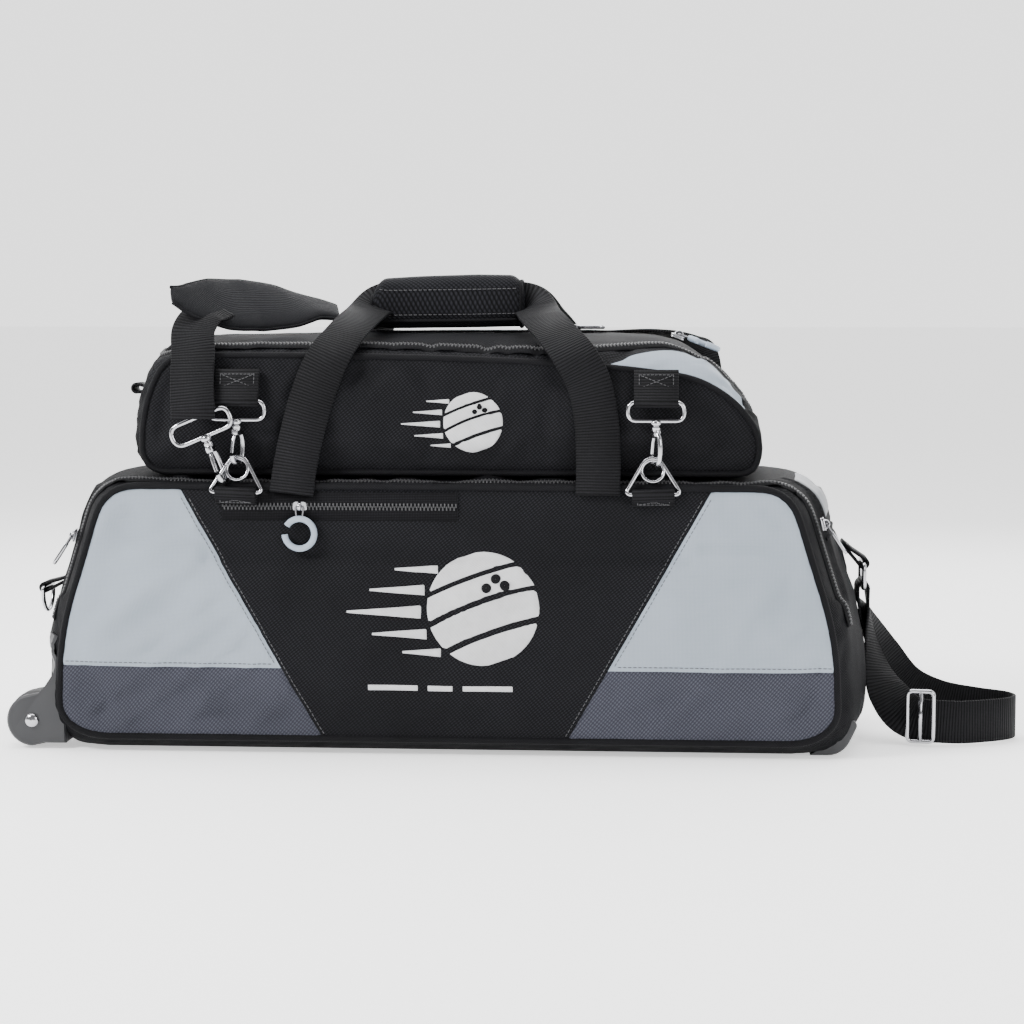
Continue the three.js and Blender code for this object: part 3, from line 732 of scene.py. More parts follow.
tote = loft("tote_skin", [tote_ring(s, e) for s, e in (
    (-1, 4), (-0.985, 1), (-0.95, 0), (-0.9, 0), (-0.8, 0), (-0.6, 0), (-0.3, 0), (0, 0),
    (0.3, 0), (0.6, 0), (0.8, 0), (0.9, 0), (0.95, 0), (0.985, 1), (1, 4))])
remeshed(tote, 6.0)
smoothed(tote, 3)
fill_out(tote, tote_hold, tote_limit)
smoothed(tote, 1, 0.4)

DIAGONAL_TOP, DIAGONAL_FOOT = Vector((230, 232)), Vector((104, 10))
SEAM_Z = 75.0
SEAM_CUTS = (-3.5, -1.2, 0, 1.2, 3.5)


def seam_x(z):
    t = (z - DIAGONAL_FOOT.y) / (DIAGONAL_TOP.y - DIAGONAL_FOOT.y)
    return DIAGONAL_FOOT.x + t * (DIAGONAL_TOP.x - DIAGONAL_FOOT.x)


def on_front(c):
    return c.y < -PANEL_Y


for side in (-1, 1):
    cut(tote, (0, side * PANEL_Y, 0), (0, 1, 0), lambda c: 110 < abs(c.y) < 124)

SLANT = Vector((DIAGONAL_TOP.y - DIAGONAL_FOOT.y, 0, -(DIAGONAL_TOP.x - DIAGONAL_FOOT.x))).normalized()
for side in (-1, 1):
    line = Vector((side * SLANT.x, 0, SLANT.z))
    for shift in SEAM_CUTS:
        cut(tote, Vector((side * DIAGONAL_FOOT.x, 0, DIAGONAL_FOOT.y)) + line * shift, line, on_front)
for shift in SEAM_CUTS:
    cut(tote, (0, 0, SEAM_Z + shift), (0, 0, 1), lambda c: on_front(c) and abs(c.x) > seam_x(c.z) - 1)


def seam_distance(x, z):
    slant = abs((abs(x) - seam_x(z)) * SLANT.x)
    level = abs(z - SEAM_Z) if abs(x) > seam_x(z) else 99
    return min(slant, level)


def fold(p, scale, seed, sharp=2.0):
    """A soft crease: a ridge where the noise crosses zero."""
    n = noise.noise(Vector((p.x / scale[0] + seed, p.z / scale[1], p.y / 90)))
    return math.exp(-(n * sharp) ** 2 * 4) - 0.5


def tote_region(c):
    if on_front(c):
        if abs(c.x) < seam_x(c.z):
            return 0
        return 1 if c.z > SEAM_Z else 2
    return 0 if c.y > PANEL_Y else 3


def box_unwrap(co, n):
    if abs(n.y) > 0.6:
        return co.x, co.z
    if abs(n.z) > 0.6:
        return co.x, co.y
    return co.y, co.z


paint(tote, [BLACK, LIGHT, SLATE, GUSSET], tote_region, box_unwrap)

shifts = []
for v in tote.data.vertices:
    p = v.co / MM
    shifts.append(Vector())
    if p.z > 4 and (abs(p.y) > 100 or p.z < 225):
        gap = edge_distance(p.x, p.z, FRONT_OUTLINE)
        calm = smoothstep(0, 26, gap) if abs(p.y) > 112 else 0.5
        slant = Vector((p.x + 0.7 * p.z, p.y, p.z - 0.5 * p.x))
        h = 3.2 * fold(slant, (150, 52), 3.1) + 1.5 * fold(p, (70, 60), 8.4, 2.6)
        h += 1.2 * noise.noise(p / 34) + 0.4 * noise.noise(p / 13)
        if abs(p.x) > seam_x(p.z) and abs(p.y) > 112:
            h = 0.6 * h + 3.4 * fold(Vector((p.x - 1.2 * p.z, 0, p.z)), (60, 130), 5.2, 3.6)
        if p.y < -112:
            h *= 0.9 + 0.6 * smoothstep(-20, 20, abs(p.x) - seam_x(p.z))
            h *= 1 - 0.5 * math.exp(-(seam_distance(p.x, p.z) / 16) ** 2)
        shifts[-1] = v.normal * calm * h * (1 - zipper_zone(p)) * MM
move_all(tote, shifts)

for v in tote.data.vertices:
    p = v.co / MM
    if p.y < -114:
        d = seam_distance(p.x, p.z)
        groove = 1.1 * math.exp(-(d / 1.3) ** 2)
        crest = 0.35 * math.exp(-((d - 4.5) / 3) ** 2)
        pucker = 0.35 * math.exp(-(d / 12) ** 2) * noise.noise(Vector((p.x / 9, 0, p.z / 9)))
        v.co.y += (groove - crest + pucker) * MM

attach(tote, "tote")
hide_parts("tote_shell", "tote_top")
TOTE_TREE = tree_of(tote)


def front_point(x, z, lift=0.0, tree=TOTE_TREE):
    p, n = cast(tree, (x, -300, z), (0, 1, 0), lift)
    return (p or Vector((x, -TOTE_DEPTH, z))), (n or Vector((0, -1, 0)))


# piping round both panels
for side, tag in ((-1, "front"), (1, "back")):
    build = Build()
    ring = [Vector((p.x, side * 119.4, p.z)) for p in tote_ring(side, 2.2)]
    build.tube(ring, 3.3, closed=True, sides=12)
    build.make("piping_" + tag, PIPING, "tote")


def paced(points, normals, pitch):
    """Places, normals and directions at even steps along a line that lies on a surface."""
    gone, want = 0.0, 1.0
    for (a, na), (b, nb) in zip(zip(points, normals), zip(points[1:], normals[1:])):
        span = (b - a).length
        while want < gone + span:
            f = (want - gone) / span
            yield a.lerp(b, f), na.lerp(nb, f).normalized(), (b - a).normalized()
            want += pitch
        gone += span


def stitches(build, points, normals, length=3.2, pitch=4.4, width=0.7, high=0.35):
    for c, n, along in paced(points, normals, pitch):
        side = along.cross(n).normalized()
        rows = []
        for t, w, h in ((-0.5, 0.25, 0.0), (-0.3, 0.5, 1.0), (0.3, 0.5, 1.0), (0.5, 0.25, 0.0)):
            m = c + along * t * length
            rows.append([m - side * w * width - n * 0.2, m - side * w * width * 0.6 + n * high * h,
                         m + side * w * width * 0.6 + n * high * h, m + side * w * width - n * 0.2])
        build.grid(rows, [[(k, i) for k in range(5)] for i in range(4)], flip=True)


def front_line(points, count=60):
    found = [front_point(p.x, p.y, 0.1) for p in even([Vector(p) for p in points], count)]
    return [p for p, n in found], [n for p, n in found]


build = Build()
for side in (-1, 1):
    for off, heights in ((3.4, (80, 150, 222)), (-3.6, (18, 60, 120, 180, 222))):
        stitches(build, *front_line([(side * (seam_x(z) + off), z) for z in heights]))
    level = [(side * (seam_x(SEAM_Z + 3.5) + 7), SEAM_Z + 3.6), (side * 333, SEAM_Z + 3.6)]
    stitches(build, *front_line(level, 40))
build.make("tote_stitching", THREAD_DARK, "tote", merge=False)


# ---------------------------------------------------------------- zippers
COIL_WIDTH, COIL_PITCH, TAPE_LIFT = 3.0, 1.6, 0.5


def zipper(name, path, normals, width):
    """Tape lying on the surface with a two-sided coil along its middle."""
    build = Build()
    edge = width / 2
    tape = [(-edge, -0.3), (-2.2, 0.5), (2.2, 0.5), (edge, -0.3), (edge, -0.9), (-edge, -0.9)]
    build.sweep([p + n * TAPE_LIFT for p, n in zip(path, normals)], normals, tape)
    for k, (c, n, along) in enumerate(paced(path, normals, COIL_PITCH)):
        side = along.cross(n).normalized() * (1 if k % 2 else -1)
        c = c + n * (TAPE_LIFT + 0.6)
        rows = []
        for t, h in ((-0.7, 0.2), (-0.35, 1.1), (0.35, 1.1), (0.7, 0.2)):
            m = c + along * t
            rows.append([m - side * 0.5, m - side * 0.5 + n * h, m + side * COIL_WIDTH * 0.6 + n * h,
                         m + side * COIL_WIDTH])
        build.grid(rows, [[(q, r) for q in range(5)] for r in range(4)], mat=1)
    build.make(name, [ZIP_TAPE, COIL], "tote", merge=False)


pocket_places = [front_point(p.x, p.y, 0.2) for p in even([Vector((-192, 215)), Vector((12, 215))], 60)]
zipper("pocket_zipper", [p for p, n in pocket_places], [n for p, n in pocket_places], 24)

# main zipper: up the ends beside the front piping, then over the top in front of the pouch
main_stops = [(-352, -92, 112), (-342, -92, 150), (-326, -92, 200), (-310, -95, 226), (-285, -104, 240),
              (-240, -111, 245), (-120, -112, 245), (0, -112, 245), (120, -112, 245), (240, -111, 245),
              (285, -104, 240), (310, -95, 226), (326, -92, 200), (342, -92, 150), (352, -92, 112)]
main_pts, main_ns = [], []
for p in even(catmull(main_stops, 10), 240):
    centre = Vector((p.x * 0.75, p.y, 110))
    hit, n = cast(TOTE_TREE, p + (p - centre).normalized() * 40, centre - p, 0.2)
    if hit is not None:
        main_pts.append(hit)
        main_ns.append(n)
zipper("main_zipper", main_pts, main_ns, 18)

# ---------------------------------------------------------------- pouch
POUCH_DEPTH, POUCH_PANEL_Y = 104, 100.6
POUCH_FRONT = [
    [-268, 241, 24], [-266, 300, 30], [-246, 346, 22], [-110, 346, 60], [30, 343, 60],
    [140, 337, 60], [218, 327, 30], [252, 306, 22], [273, 276, 16], [268, 241, 22]]
POUCH_MIDDLE = [
    [-278, 241, 24], [-277, 300, 30], [-252, 358, 26], [-110, 361, 60], [30, 361, 60],
    [140, 361, 60], [197, 358.5, 30], [241, 322, 22], [273, 279, 16], [268, 241, 22]]


def pouch_ring(s, edge=0.0):
    share = 1 - abs(s) ** 2.5
    corners = []
    for (x, z, r), (mx, mz, _) in zip(POUCH_FRONT, POUCH_MIDDLE):
        px, pz = x + (mx - x) * share, z + (mz - z) * share
        corners.append([px - math.copysign(edge * min(1, abs(px) / 200), px),
                        pz + (edge if pz < 270 else -edge), r])
    return [Vector((p.x, s * POUCH_DEPTH, p.y)) for p in even(rounded(corners, 8), 180, closed=True)]


POUCH_EDGE = near_outline(pouch_ring(-1, 3))


def pouch_hold(p):
    flat = smoothstep(90, 102, abs(p.y))
    rim = 1 - smoothstep(2, 8, edge_distance(p.x, p.z, POUCH_EDGE)) if abs(p.y) > 92 else 0
    return max(flat * rim, 1 - smoothstep(242, 252, p.z))


def pouch_limit(p):
    if p.z < 250:
        return 0.4
    if abs(p.y) > 94:
        return 0.2 + 5.0 * smoothstep(0, 34, edge_distance(p.x, p.z, POUCH_EDGE))
    if p.z > 338:
        return 1.6
    return 4.0


pouch = loft("pouch_skin", [pouch_ring(s, e) for s, e in (
    (-1, 5), (-0.975, 1.5), (-0.93, 0), (-0.8, 0), (-0.6, 0), (-0.3, 0), (0, 0),
    (0.3, 0), (0.6, 0), (0.8, 0), (0.93, 0), (0.975, 1.5), (1, 5))])
remeshed(pouch, 5.0)
smoothed(pouch, 3)
fill_out(pouch, pouch_hold, pouch_limit, grow=0.04)
smoothed(pouch, 1, 0.4)

# the lid's zipper turns back across the top near the right end and leaves a light corner panel before it
LID_LINE = [(-256, -40), (-250, -74), (-226, -84), (-120, -86), (0, -86), (104, -86),
            (136, -76), (200, -50), (238, -36), (262, -20)]


CORNER_LINE = [(134, -104), (168, -84), (206, -60), (240, -58), (262, -102)]


def line_at(line, x):
    """The line's second value at x, held level past its ends."""
    for (a, ya), (b, yb) in zip(line, line[1:]):
        if a <= x <= b:
            return ya + (yb - ya) * (x - a) / (b - a)
    return line[0][1] if x < line[0][0] else line[-1][1]


for side in (-1, 1):
    cut(pouch, (0, side * POUCH_PANEL_Y, 0), (0, 1, 0), lambda c: 92 < abs(c.y) < 107)
for (a, ya), (b, yb) in zip(CORNER_LINE, CORNER_LINE[1:]):
    normal = Vector((-(yb - ya), b - a, 0)).normalized()
    cut(pouch, (a, ya, 0), normal, lambda c, a=a, b=b: a - 6 < c.x < b + 6 and c.z > 280 and c.y < 0)


def pouch_region(c):
    if abs(c.y) > POUCH_PANEL_Y:
        return 0
    if CORNER_LINE[0][0] <= c.x <= CORNER_LINE[-1][0] and c.y < line_at(CORNER_LINE, c.x) and c.z > 290:
        return 1
    return 0 if c.z > 325 else 2


paint(pouch, [BLACK, LIGHT, GUSSET], pouch_region, box_unwrap)
shifts = []
for v in pouch.data.vertices:
    p = v.co / MM
    shifts.append(Vector())
    if p.z > 248:
        calm = smoothstep(0, 20, edge_distance(p.x, p.z, POUCH_EDGE)) if abs(p.y) > 92 else 0.6
        slant = Vector((p.x - 0.5 * p.z, p.y, p.z + 0.25 * p.x))
        h = 2.8 * fold(slant, (90, 34), 1.7) + 1.3 * noise.noise(p / 24)
        if p.x > 190 or p.x < -200:
            h += 2.0 * fold(p, (60, 22), 4.9, 3.0)
        shifts[-1] = v.normal * calm * h * (0.5 if p.z > 335 else 1.0) * MM
move_all(pouch, shifts)
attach(pouch, "tote")
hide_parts("pouch_shell", "pouch_lid")
POUCH_TREE = tree_of(pouch)

for side, tag in ((-1, "front"), (1, "back")):
    build = Build()
    build.tube([Vector((p.x, side * 101.2, p.z)) for p in pouch_ring(side, 2.0)], 2.9, closed=True, sides=12)
    build.make("pouch_piping_" + tag, PIPING, "tote")

lid_pts, lid_ns = [], []
for p in even(catmull([(x, y, 0) for x, y in LID_LINE], 10), 200):
    hit, n = cast(POUCH_TREE, (p.x, p.y, 420), (0, 0, -1), 0.2)
    if hit is not None:
        lid_pts.append(hit - n * 0.7 * smoothstep(186, 198, p.x))
        lid_ns.append(n)
zipper("pouch_zipper", lid_pts, lid_ns, 20)


# ---------------------------------------------------------------- embroidery: a plain ball with speed bars
def patch(build, cells, tree, high=1.1):
    """cells(u, v) gives (x, z); the patch stands proud in the middle and sinks at its rim."""
    lift, nu, nv = 0.3, 9, 36
    rows, uv = [], []
    for i in range(nu):
        places = [cells(i / (nu - 1), j / (nv - 1)) for j in range(nv)]
        row = []
        for j, (x, z) in enumerate(places):
            p, n = front_point(x, z, tree=tree)
            edge = min(i, nu - 1 - i, j, nv - 1 - j) / 2
            row.append(p + n * (-0.4 + (lift + 0.4) * min(1, edge * 2) + high * math.sqrt(min(1, edge / 2))))
        rows.append(row)
        uv.append(places)
    build.grid(rows, uv, flip=True)


def ball_band(cx, cz, radius, v0, v1, lean):
    """A curved slice of a disc between two heights, given as shares of the radius."""
    def cell(u, v):
        h = v0 + (v1 - v0) * u
        half = math.sqrt(max(0.0, 1 - h * h))
        a = (v * 2 - 1) * half * radius
        b = h * radius + 0.10 * radius * (1 - (v * 2 - 1) ** 2) * (1 - abs(h))
        return cx + a * math.cos(lean) - b * math.sin(lean), cz + a * math.sin(lean) + b * math.cos(lean)
    return cell


def bar(x0, x1, z, w0, w1):
    """A level bar whose width runs from w0 to w1."""
    def cell(u, v):
        return x0 + (x1 - x0) * v, z + (w0 + (w1 - w0) * v) * (u - 0.5)
    return cell


BALL_X, BALL_RADIUS, BALL_LEAN = 34, 49, 0.35
HOLE_RADIUS = 4.3


def emblem(name, cx, cz, size, tree, underlined):
    build = Build()
    for v0, v1 in ((-0.985, -0.52), (-0.46, 0.02), (0.08, 0.52), (0.58, 0.985)):
        patch(build, ball_band(cx + BALL_X * size, cz, BALL_RADIUS * size, v0, v1, BALL_LEAN), tree)
    for dz, start, w in ((34, -42, 8), (16, -64, 10), (-3, -84, 12), (-22, -62, 10), (-38, -36, 8)):
        end = BALL_X - BALL_RADIUS * math.sqrt(max(0.1, 1 - ((dz + 1) / BALL_RADIUS) ** 2)) - 4
        patch(build, bar(cx + start * size, cx + end * size, cz + dz * size, 2.0 * size, w * size), tree)
    for dx, dz in ((45, 26), (53, 20.5), (37, 18)):
        rows = []
        for i in range(4):
            r = HOLE_RADIUS * size * (1 - i / 3 * 0.96)
            row = []
            for a in turns(24):
                x, z = cx + dx * size + r * math.cos(a), cz + dz * size + r * math.sin(a)
                p, n = front_point(x, z, tree=tree)
                row.append(p + n * (1.9 + 0.35 * min(1, i)))
            rows.append(row)
        build.grid(rows, [[(j * 0.8, i) for j in range(25)] for i in range(4)], wrap=True, mat=1)
    if underlined:
        for x0, x1 in ((-66, -22), (-14, 8), (16, 60)):
            patch(build, bar(cx + x0, cx + x1, cz - 69, 5.2, 5.2), tree, high=0.5)
    build.make(name, [SILVER, PIPING], "tote", merge=False)


emblem("tote_emblem", 0, 128, 1.0, TOTE_TREE, True)
emblem("pouch_emblem", 6, 287, 0.53, POUCH_TREE, False)


# ---------------------------------------------------------------- webbing
WEB_WIDTH, WEB_THICK = 38, 2.6


def framed(stops, per, closed=False):
    """A curve and its outward directions from stops of place and direction."""
    return catmull([stop[:3] for stop in stops], per, closed, [stop[3:] for stop in stops])


def webbing_band(name, stops, body, node_name, closed=False, per=14):
    build = Build()
    build.sweep(*framed(stops, per, closed), band_section(WEB_WIDTH, WEB_THICK), closed)
    build.make(name, WEB, body, (node_name,))


LEG_STOPS = [
    [131, 132, 125.6, 226], [128, 132, 119, 252], [120, 130, 113, 290], [110, 123, 111, 322],
    [99, 110, 108.5, 346], [89, 96, 92, 362], [78, 80, 60, 377]]


def handle_stops(side, top_y):
    def leg(m):
        upright = m > 0 and side < 0
        stops = [[m * (s[1] if upright else s[0]), side * s[2], s[3]] for s in LEG_STOPS]
        return stops + [[m * 68, top_y + side * 8, 387]]
    facing = [[0, side, 0], [0, side, 0.1], [0, side, 0.05], [0, side, 0.1], [0, side, 0.75],
              [0, side * 0.7, 1], [0, side * 0.8, 1], [0, side, 0.35]]
    places = leg(-1) + [[-56, top_y, 389], [0, top_y, 390], [56, top_y, 389]] + leg(1)[::-1]
    normals = facing + [[0, side, 0]] * 3 + facing[::-1]
    return [p + n for p, n in zip(places, normals)]


for side, tag, top_y in ((-1, "front", -9), (1, "back", 15)):
    webbing_band("handle_web_" + tag, handle_stops(side, top_y), "handle_" + tag, "handle_" + tag)


def box_stitch(build, centre, across, down, width, height, normal):
    """A sewn rectangle with a cross in it."""
    w, h = across * width / 2, down * height / 2
    corners = [centre - w - h, centre + w - h, centre + w + h, centre - w + h]
    for a, b in list(zip(corners, corners[1:] + corners[:1])) + [corners[0::2], corners[1::2]]:
        stitches(build, [a, b], [normal, normal], 2.6, 3.4, 0.7, 0.3)


# ---------------------------------------------------------------- padded grip and shoulder pad
def rounded_loop(centre, side, out, w, t, powers, sides):
    """A squared-off oval ring of half width w and half thickness t."""
    ring = []
    for a in turns(sides):
        x = math.copysign(abs(math.cos(a)) ** powers[0], math.cos(a)) * w
        y = math.copysign(abs(math.sin(a)) ** powers[1], math.sin(a)) * t
        ring.append(centre + side * x + out * y)
    return ring


def padded_piece(name, rows, uv_rows, mat, body, node_name):
    build = Build()
    build.grid(rows, uv_rows, wrap=True, flip=True)
    build.cap(rows[0])
    build.cap(rows[-1], flip=True)
    obj = build.make(name, mat, body, (node_name,))
    subdivide(obj)


GRIP_TOP = [(-77, 386), (-70, 405), (-64, 411), (-30, 413), (20, 414.5), (52, 414), (60, 408), (63, 400)]
GRIP_LOW = [(-73, 368), (-60, 366), (-20, 366.5), (20, 367), (62, 368)]


GRIP_LEFT, GRIP_LONG, GRIP_STEPS, GRIP_Y = -77, 140, 40, -9
rows, uv_rows = [], []
for i in range(GRIP_STEPS + 1):
    x = GRIP_LEFT + GRIP_LONG * i / GRIP_STEPS
    top, low = line_at(GRIP_TOP, x), line_at(GRIP_LOW, x)
    ends = math.sqrt(max(0.0, 1 - abs(2 * i / GRIP_STEPS - 1) ** 9))
    half_z, half_y = (top - low) / 2, 17.5 * (0.78 + 0.22 * ends)
    puff = 1 + 0.012 * math.sin(x / 6.0) * ends
    row = []
    for a in turns(32):
        ca, sa = math.cos(a), math.sin(a)
        lump = noise.noise(Vector((x / 30, ca * 2, sa * 2)))
        y = math.copysign(abs(ca) ** 0.6, ca) * (half_y * puff + lump)
        z = math.copysign(abs(sa) ** 0.6, sa) * half_z
        row.append(Vector((x, GRIP_Y + y, (top + low) / 2 + z)))
    rows.append(row)
    uv_rows.append([(k * 4.2, x) for k in range(33)])
padded_piece("grip_pad", rows, uv_rows, GRIP_CLOTH, "handle_front", "handle_grip")
edge = Build()
for i in (1, 39):
    edge.tube(rows[i], 1.7, closed=True, sides=8)
edge.tube([Vector((x, -27.2, line_at(GRIP_LOW, x) + 6.5)) for x in range(-74, 62, 4)], 1.5, sides=8)
edge.make("grip_binding", PIPING, "handle_front")
edge = Build()
for dz in (12, 34):
    line = [Vector((x, -27.4, line_at(GRIP_LOW, x) + dz)) for x in range(-66, 56, 4)]
    stitches(edge, line, [Vector((0, -1, 0))] * len(line))
edge.make("grip_stitching", THREAD_DARK, "handle_front", merge=False)

PAD_STOPS = [
    [-240, -92, 396, 0.1, -0.75, 0.6], [-226, -80, 391, 0.1, -0.75, 0.6], [-205, -60, 388, 0.1, -0.75, 0.6],
    [-180, -36, 387, 0, -0.75, 0.6], [-150, -14, 386, 0, -0.6, 0.75], [-128, 0, 384, 0, -0.4, 0.9],
    [-108, 6, 380, 0, -0.3, 0.95]]
path, normals = framed(PAD_STOPS, 10)


def pad_profile(t):
    w = 8 + 23 * smoothstep(-0.05, 0.42, t) - 12 * smoothstep(0.6, 0.95, t)
    return w, 2.6 + 2.6 * smoothstep(0.05, 0.4, t) - 1.2 * smoothstep(0.8, 1, t)


PAD_SIDES = 28
rows, uv_rows, gone = [], [], 0.0
for i, p in enumerate(path):
    along = (path[min(len(path) - 1, i + 1)] - path[max(0, i - 1)]).normalized()
    out = normals[i] - along * normals[i].dot(along)
    out.normalize()
    w, t = pad_profile(i / (len(path) - 1))
    rows.append(rounded_loop(p, along.cross(out), out, w, t, (0.55, 0.8), PAD_SIDES))
    if i:
        gone += (p - path[i - 1]).length
    uv_rows.append([(k * 2 * (w + t) * 2 / PAD_SIDES, gone) for k in range(PAD_SIDES + 1)])
padded_piece("shoulder_pad", rows, uv_rows, PAD_CLOTH, "tote", "strap_pad")
edge = Build()
for which in (0, PAD_SIDES // 2):
    edge.tube([r[which] for r in rows], 1.6, sides=8)
edge.make("shoulder_pad_binding", PIPING, "tote")

FRONT_STRAP = [
    [-215, -129, 290, 0, -1, 0], [-215, -129, 298, 0, -1, 0], [-217, -121, 322, 0, -1, 0.1],
    [-218, -110, 346, 0, -1, 0.3], [-220, -97, 366, 0, -0.9, 0.5], [-214, -82, 379, -0.1, -0.8, 0.6],
    [-204, -66, 385, -0.1, -0.8, 0.6]]
LONG_STRAP = [
    [-106, 7, 371, 0.2, 0, 1], [-92, 6, 365.5, 0.3, 0, 1], [-70, 6, 363.3, 0, 0, 1], [0, 12, 363.2, 0, 0, 1],
    [70, 18, 363.2, 0, 0, 1], [130, 26, 363, 0, 0, 1], [172, 48, 361, 0, 0.2, 1], [202, 84, 352, 0, 0.6, 1],
    [216, 109, 342, 0, 1, 0.5], [221, 122, 322, 0, 1, 0.1], [218, 129, 298, 0, 1, 0],
    [218, 129, 290, 0, 1, 0]]
webbing_band("strap_webbing_front", FRONT_STRAP, "tote", "strap_web_front")
webbing_band("strap_webbing_long", LONG_STRAP, "tote", "strap_web_long")

PULL_STOPS = [
    [369.6, 0, 131, 1, 0, 0], [371, -4, 112, 1, -0.1, 0], [375, -12, 80, 1, -0.5, 0],
    [386, -28, 46, 0.5, -1, 0], [405, -40, 25, 0.1, -1, 0], [440, -42, 20.4, 0, -1, 0],
    [475, -31, 20.2, 0.2, -1, 0], [497, -14, 20.2, 0.8, -0.7, 0], [502, 2, 20.2, 1, 0, 0],
    [495, 18, 20.4, 0.7, 0.8, 0], [470, 28, 22, 0, 1, 0], [435, 26, 29, 0, 1, 0],
    [405, 18, 45, -0.2, 1, 0], [387, 8, 72, -0.7, 0.8, 0], [371, 3, 104, -1, 0.3, 0],
    [361.5, 0, 122, -1, 0, 0], [360.3, 0, 132, -1, 0, 0], [361, 0, 138, -1, 0, 0.4],
    [365, 0, 141.4, 0, 0, 1], [369, 0, 138, 1, 0, 0.4]]
webbing_band("pull_webbing", PULL_STOPS, "pull_strap", "pull_strap", closed=True, per=10)


def folded(name, bar_at, to_sewn, across, length, inner, width, node_name):
    """A band folded round a bar at bar_at, its two ends sewn flat together."""
    down, across = Vector(to_sewn).normalized(), Vector(across)
    side = down.cross(across).normalized()
    bar_at = Vector(bar_at)
    r = inner + WEB_THICK / 2
    path, normals = [], []

    def put(a, b, n):
        path.append(bar_at + down * a + side * b)
        normals.append(n)
    put(length, 1.5, side)
    put(length * 0.6, 1.6, side)
    put(r * 1.3, r * 0.8, side)
    for k in range(13):
        a = math.pi * k / 12
        put(-r * math.sin(a), r * math.cos(a), side * math.cos(a) - down * math.sin(a))
    put(r * 1.3, -r * 0.8, -side)
    put(length * 0.6, -1.6, -side)
    put(length, -1.5, -side)
    build = Build()
    build.sweep(path, normals, band_section(width, WEB_THICK))
    build.make(name, WEB, "tote", (node_name,))
    thread = Build()
    for sign in (-1, 1):
        centre = bar_at + down * (length * 0.62) + side * sign * 3.0
        box_stitch(thread, centre, across, down, width - 9, max(4, length * 0.5 - 2), side * sign)
    thread.make(name + "_stitching", THREAD_DARK, "tote", merge=False)


CORNERS = ((-1, -1, "fl"), (1, -1, "fr"), (-1, 1, "bl"), (1, 1, "br"))
RING_X, RING_Y, RING_Z, RING_LEAN, RING_TURN = 179, 127, 227, 0.3, 0.1
HOOK_X, HOOK_Y, HOOK_LOOP_Z = {-1: -179, 1: 181}, 118, 297
END_RING_AT, PULL_RING_AT = (-377, 0, 130), (365, 0, 158)
for sx, sy, tag in CORNERS:
    turn = -sy * sx * RING_TURN
    folded("ring_webbing_" + tag, (sx * RING_X, sy * RING_Y, RING_Z), (0, -sy * 0.3, -1),
           (math.cos(turn), math.sin(turn), 0), 10, 2.2, 36, "ring_band_" + tag)
    folded("pouch_webbing_" + tag, (HOOK_X[sx], sy * HOOK_Y, HOOK_LOOP_Z + 8), (0, -sy * 0.3, 1),
           (1, 0, 0), 28, 2.3, WEB_WIDTH, "pouch_tab_" + tag)
folded("end_webbing", END_RING_AT, (1, 0, 0.4), (0, 1, 0), 26, 2.4, 30, "end_tab")
folded("pull_anchor_webbing", PULL_RING_AT, (-1, 0, 0.9), (0, 1, 0), 26, 2.6, WEB_WIDTH, "pull_anchor")
folded("pouch_end_webbing", (-290, 0, 312), (1, 0, -0.1), (0, 1, 0), 18, 2.5, 25, "pouch_end_tab")

def laid_cloth(build, origin, ray, steps, size, lift, sink, mat=0, flip=False):
    """A panel laid on the tote: origin(u, v) is cast along the ray, and the rim sinks into the fabric."""
    up, along = steps
    rows = []
    for i in range(up + 1):
        row = []
        for j in range(along + 1):
            p, n = cast(TOTE_TREE, origin(i / up, j / along), ray)
            rim = min(i, up - i, j, along - j) == 0
            row.append(p + n * (lift - sink if rim else lift))
        rows.append(row)
    uv = [[(size[0] * j / along, size[1] * i / up) for j in range(along + 1)] for i in range(up + 1)]
    build.grid(rows, uv, mat=mat, flip=flip)
    return rows


# black patches where the end webbing is sewn on
build = Build()
for z0, w, h, side in ((140, 22, 15, -1), (170, 30, 20, 1)):
    laid_cloth(build, lambda u, v: (side * 460, (v * 2 - 1) * w, z0 + (u * 2 - 1) * h), (-side, 0, 0),
               (8, 12), (2 * w, 2 * h), 1.4, 2.0)
build.make("end_patches", BLACK, "tote", merge=False)

# label pocket on the right shoulder: a cloth frame with a clear window and a bound end
LABEL_OUT = Vector((0.7, 0, 0.7))


def label_place(u, v, inset):
    u, v = inset + (1 - 2 * inset) * u, 0.6 * inset + (1 - 1.2 * inset) * v
    return Vector((292 + 46 * u, -74 + 70 * v, 246 - 52 * u)) + LABEL_OUT * 60


build = Build()
for mat, inset, lift in ((0, 0, 1.0), (1, 0.17, 1.7)):
    rows = laid_cloth(build, lambda u, v: label_place(u, v, inset), -LABEL_OUT, (12, 16), (70, 68),
                      lift, 1.8, mat, flip=True)
    if mat == 0:
        build.tube([p + Vector((0.5, 0, 0.5)) for p in rows[-1]], 1.8, sides=8)
build.make("label_pocket", [BLACK, WINDOW], "tote", merge=False)


# ---------------------------------------------------------------- metal hardware
def wire_loop(points, count, soften):
    """A closed loop of wire with its corners eased."""
    pts = even([Vector(p) for p in points], count, closed=True)
    for _ in range(soften):
        pts = [(pts[i - 1] + pts[i] * 2 + pts[(i + 1) % len(pts)]) / 4 for i in range(len(pts))]
    return pts


def moved(points, matrix):
    return [matrix @ Vector(p) for p in points]


def arc_points(cx, cz, radius, start, end, steps):
    return [(cx + radius * math.cos(start + (end - start) * i / steps), 0,
             cz + radius * math.sin(start + (end - start) * i / steps)) for i in range(steps + 1)]


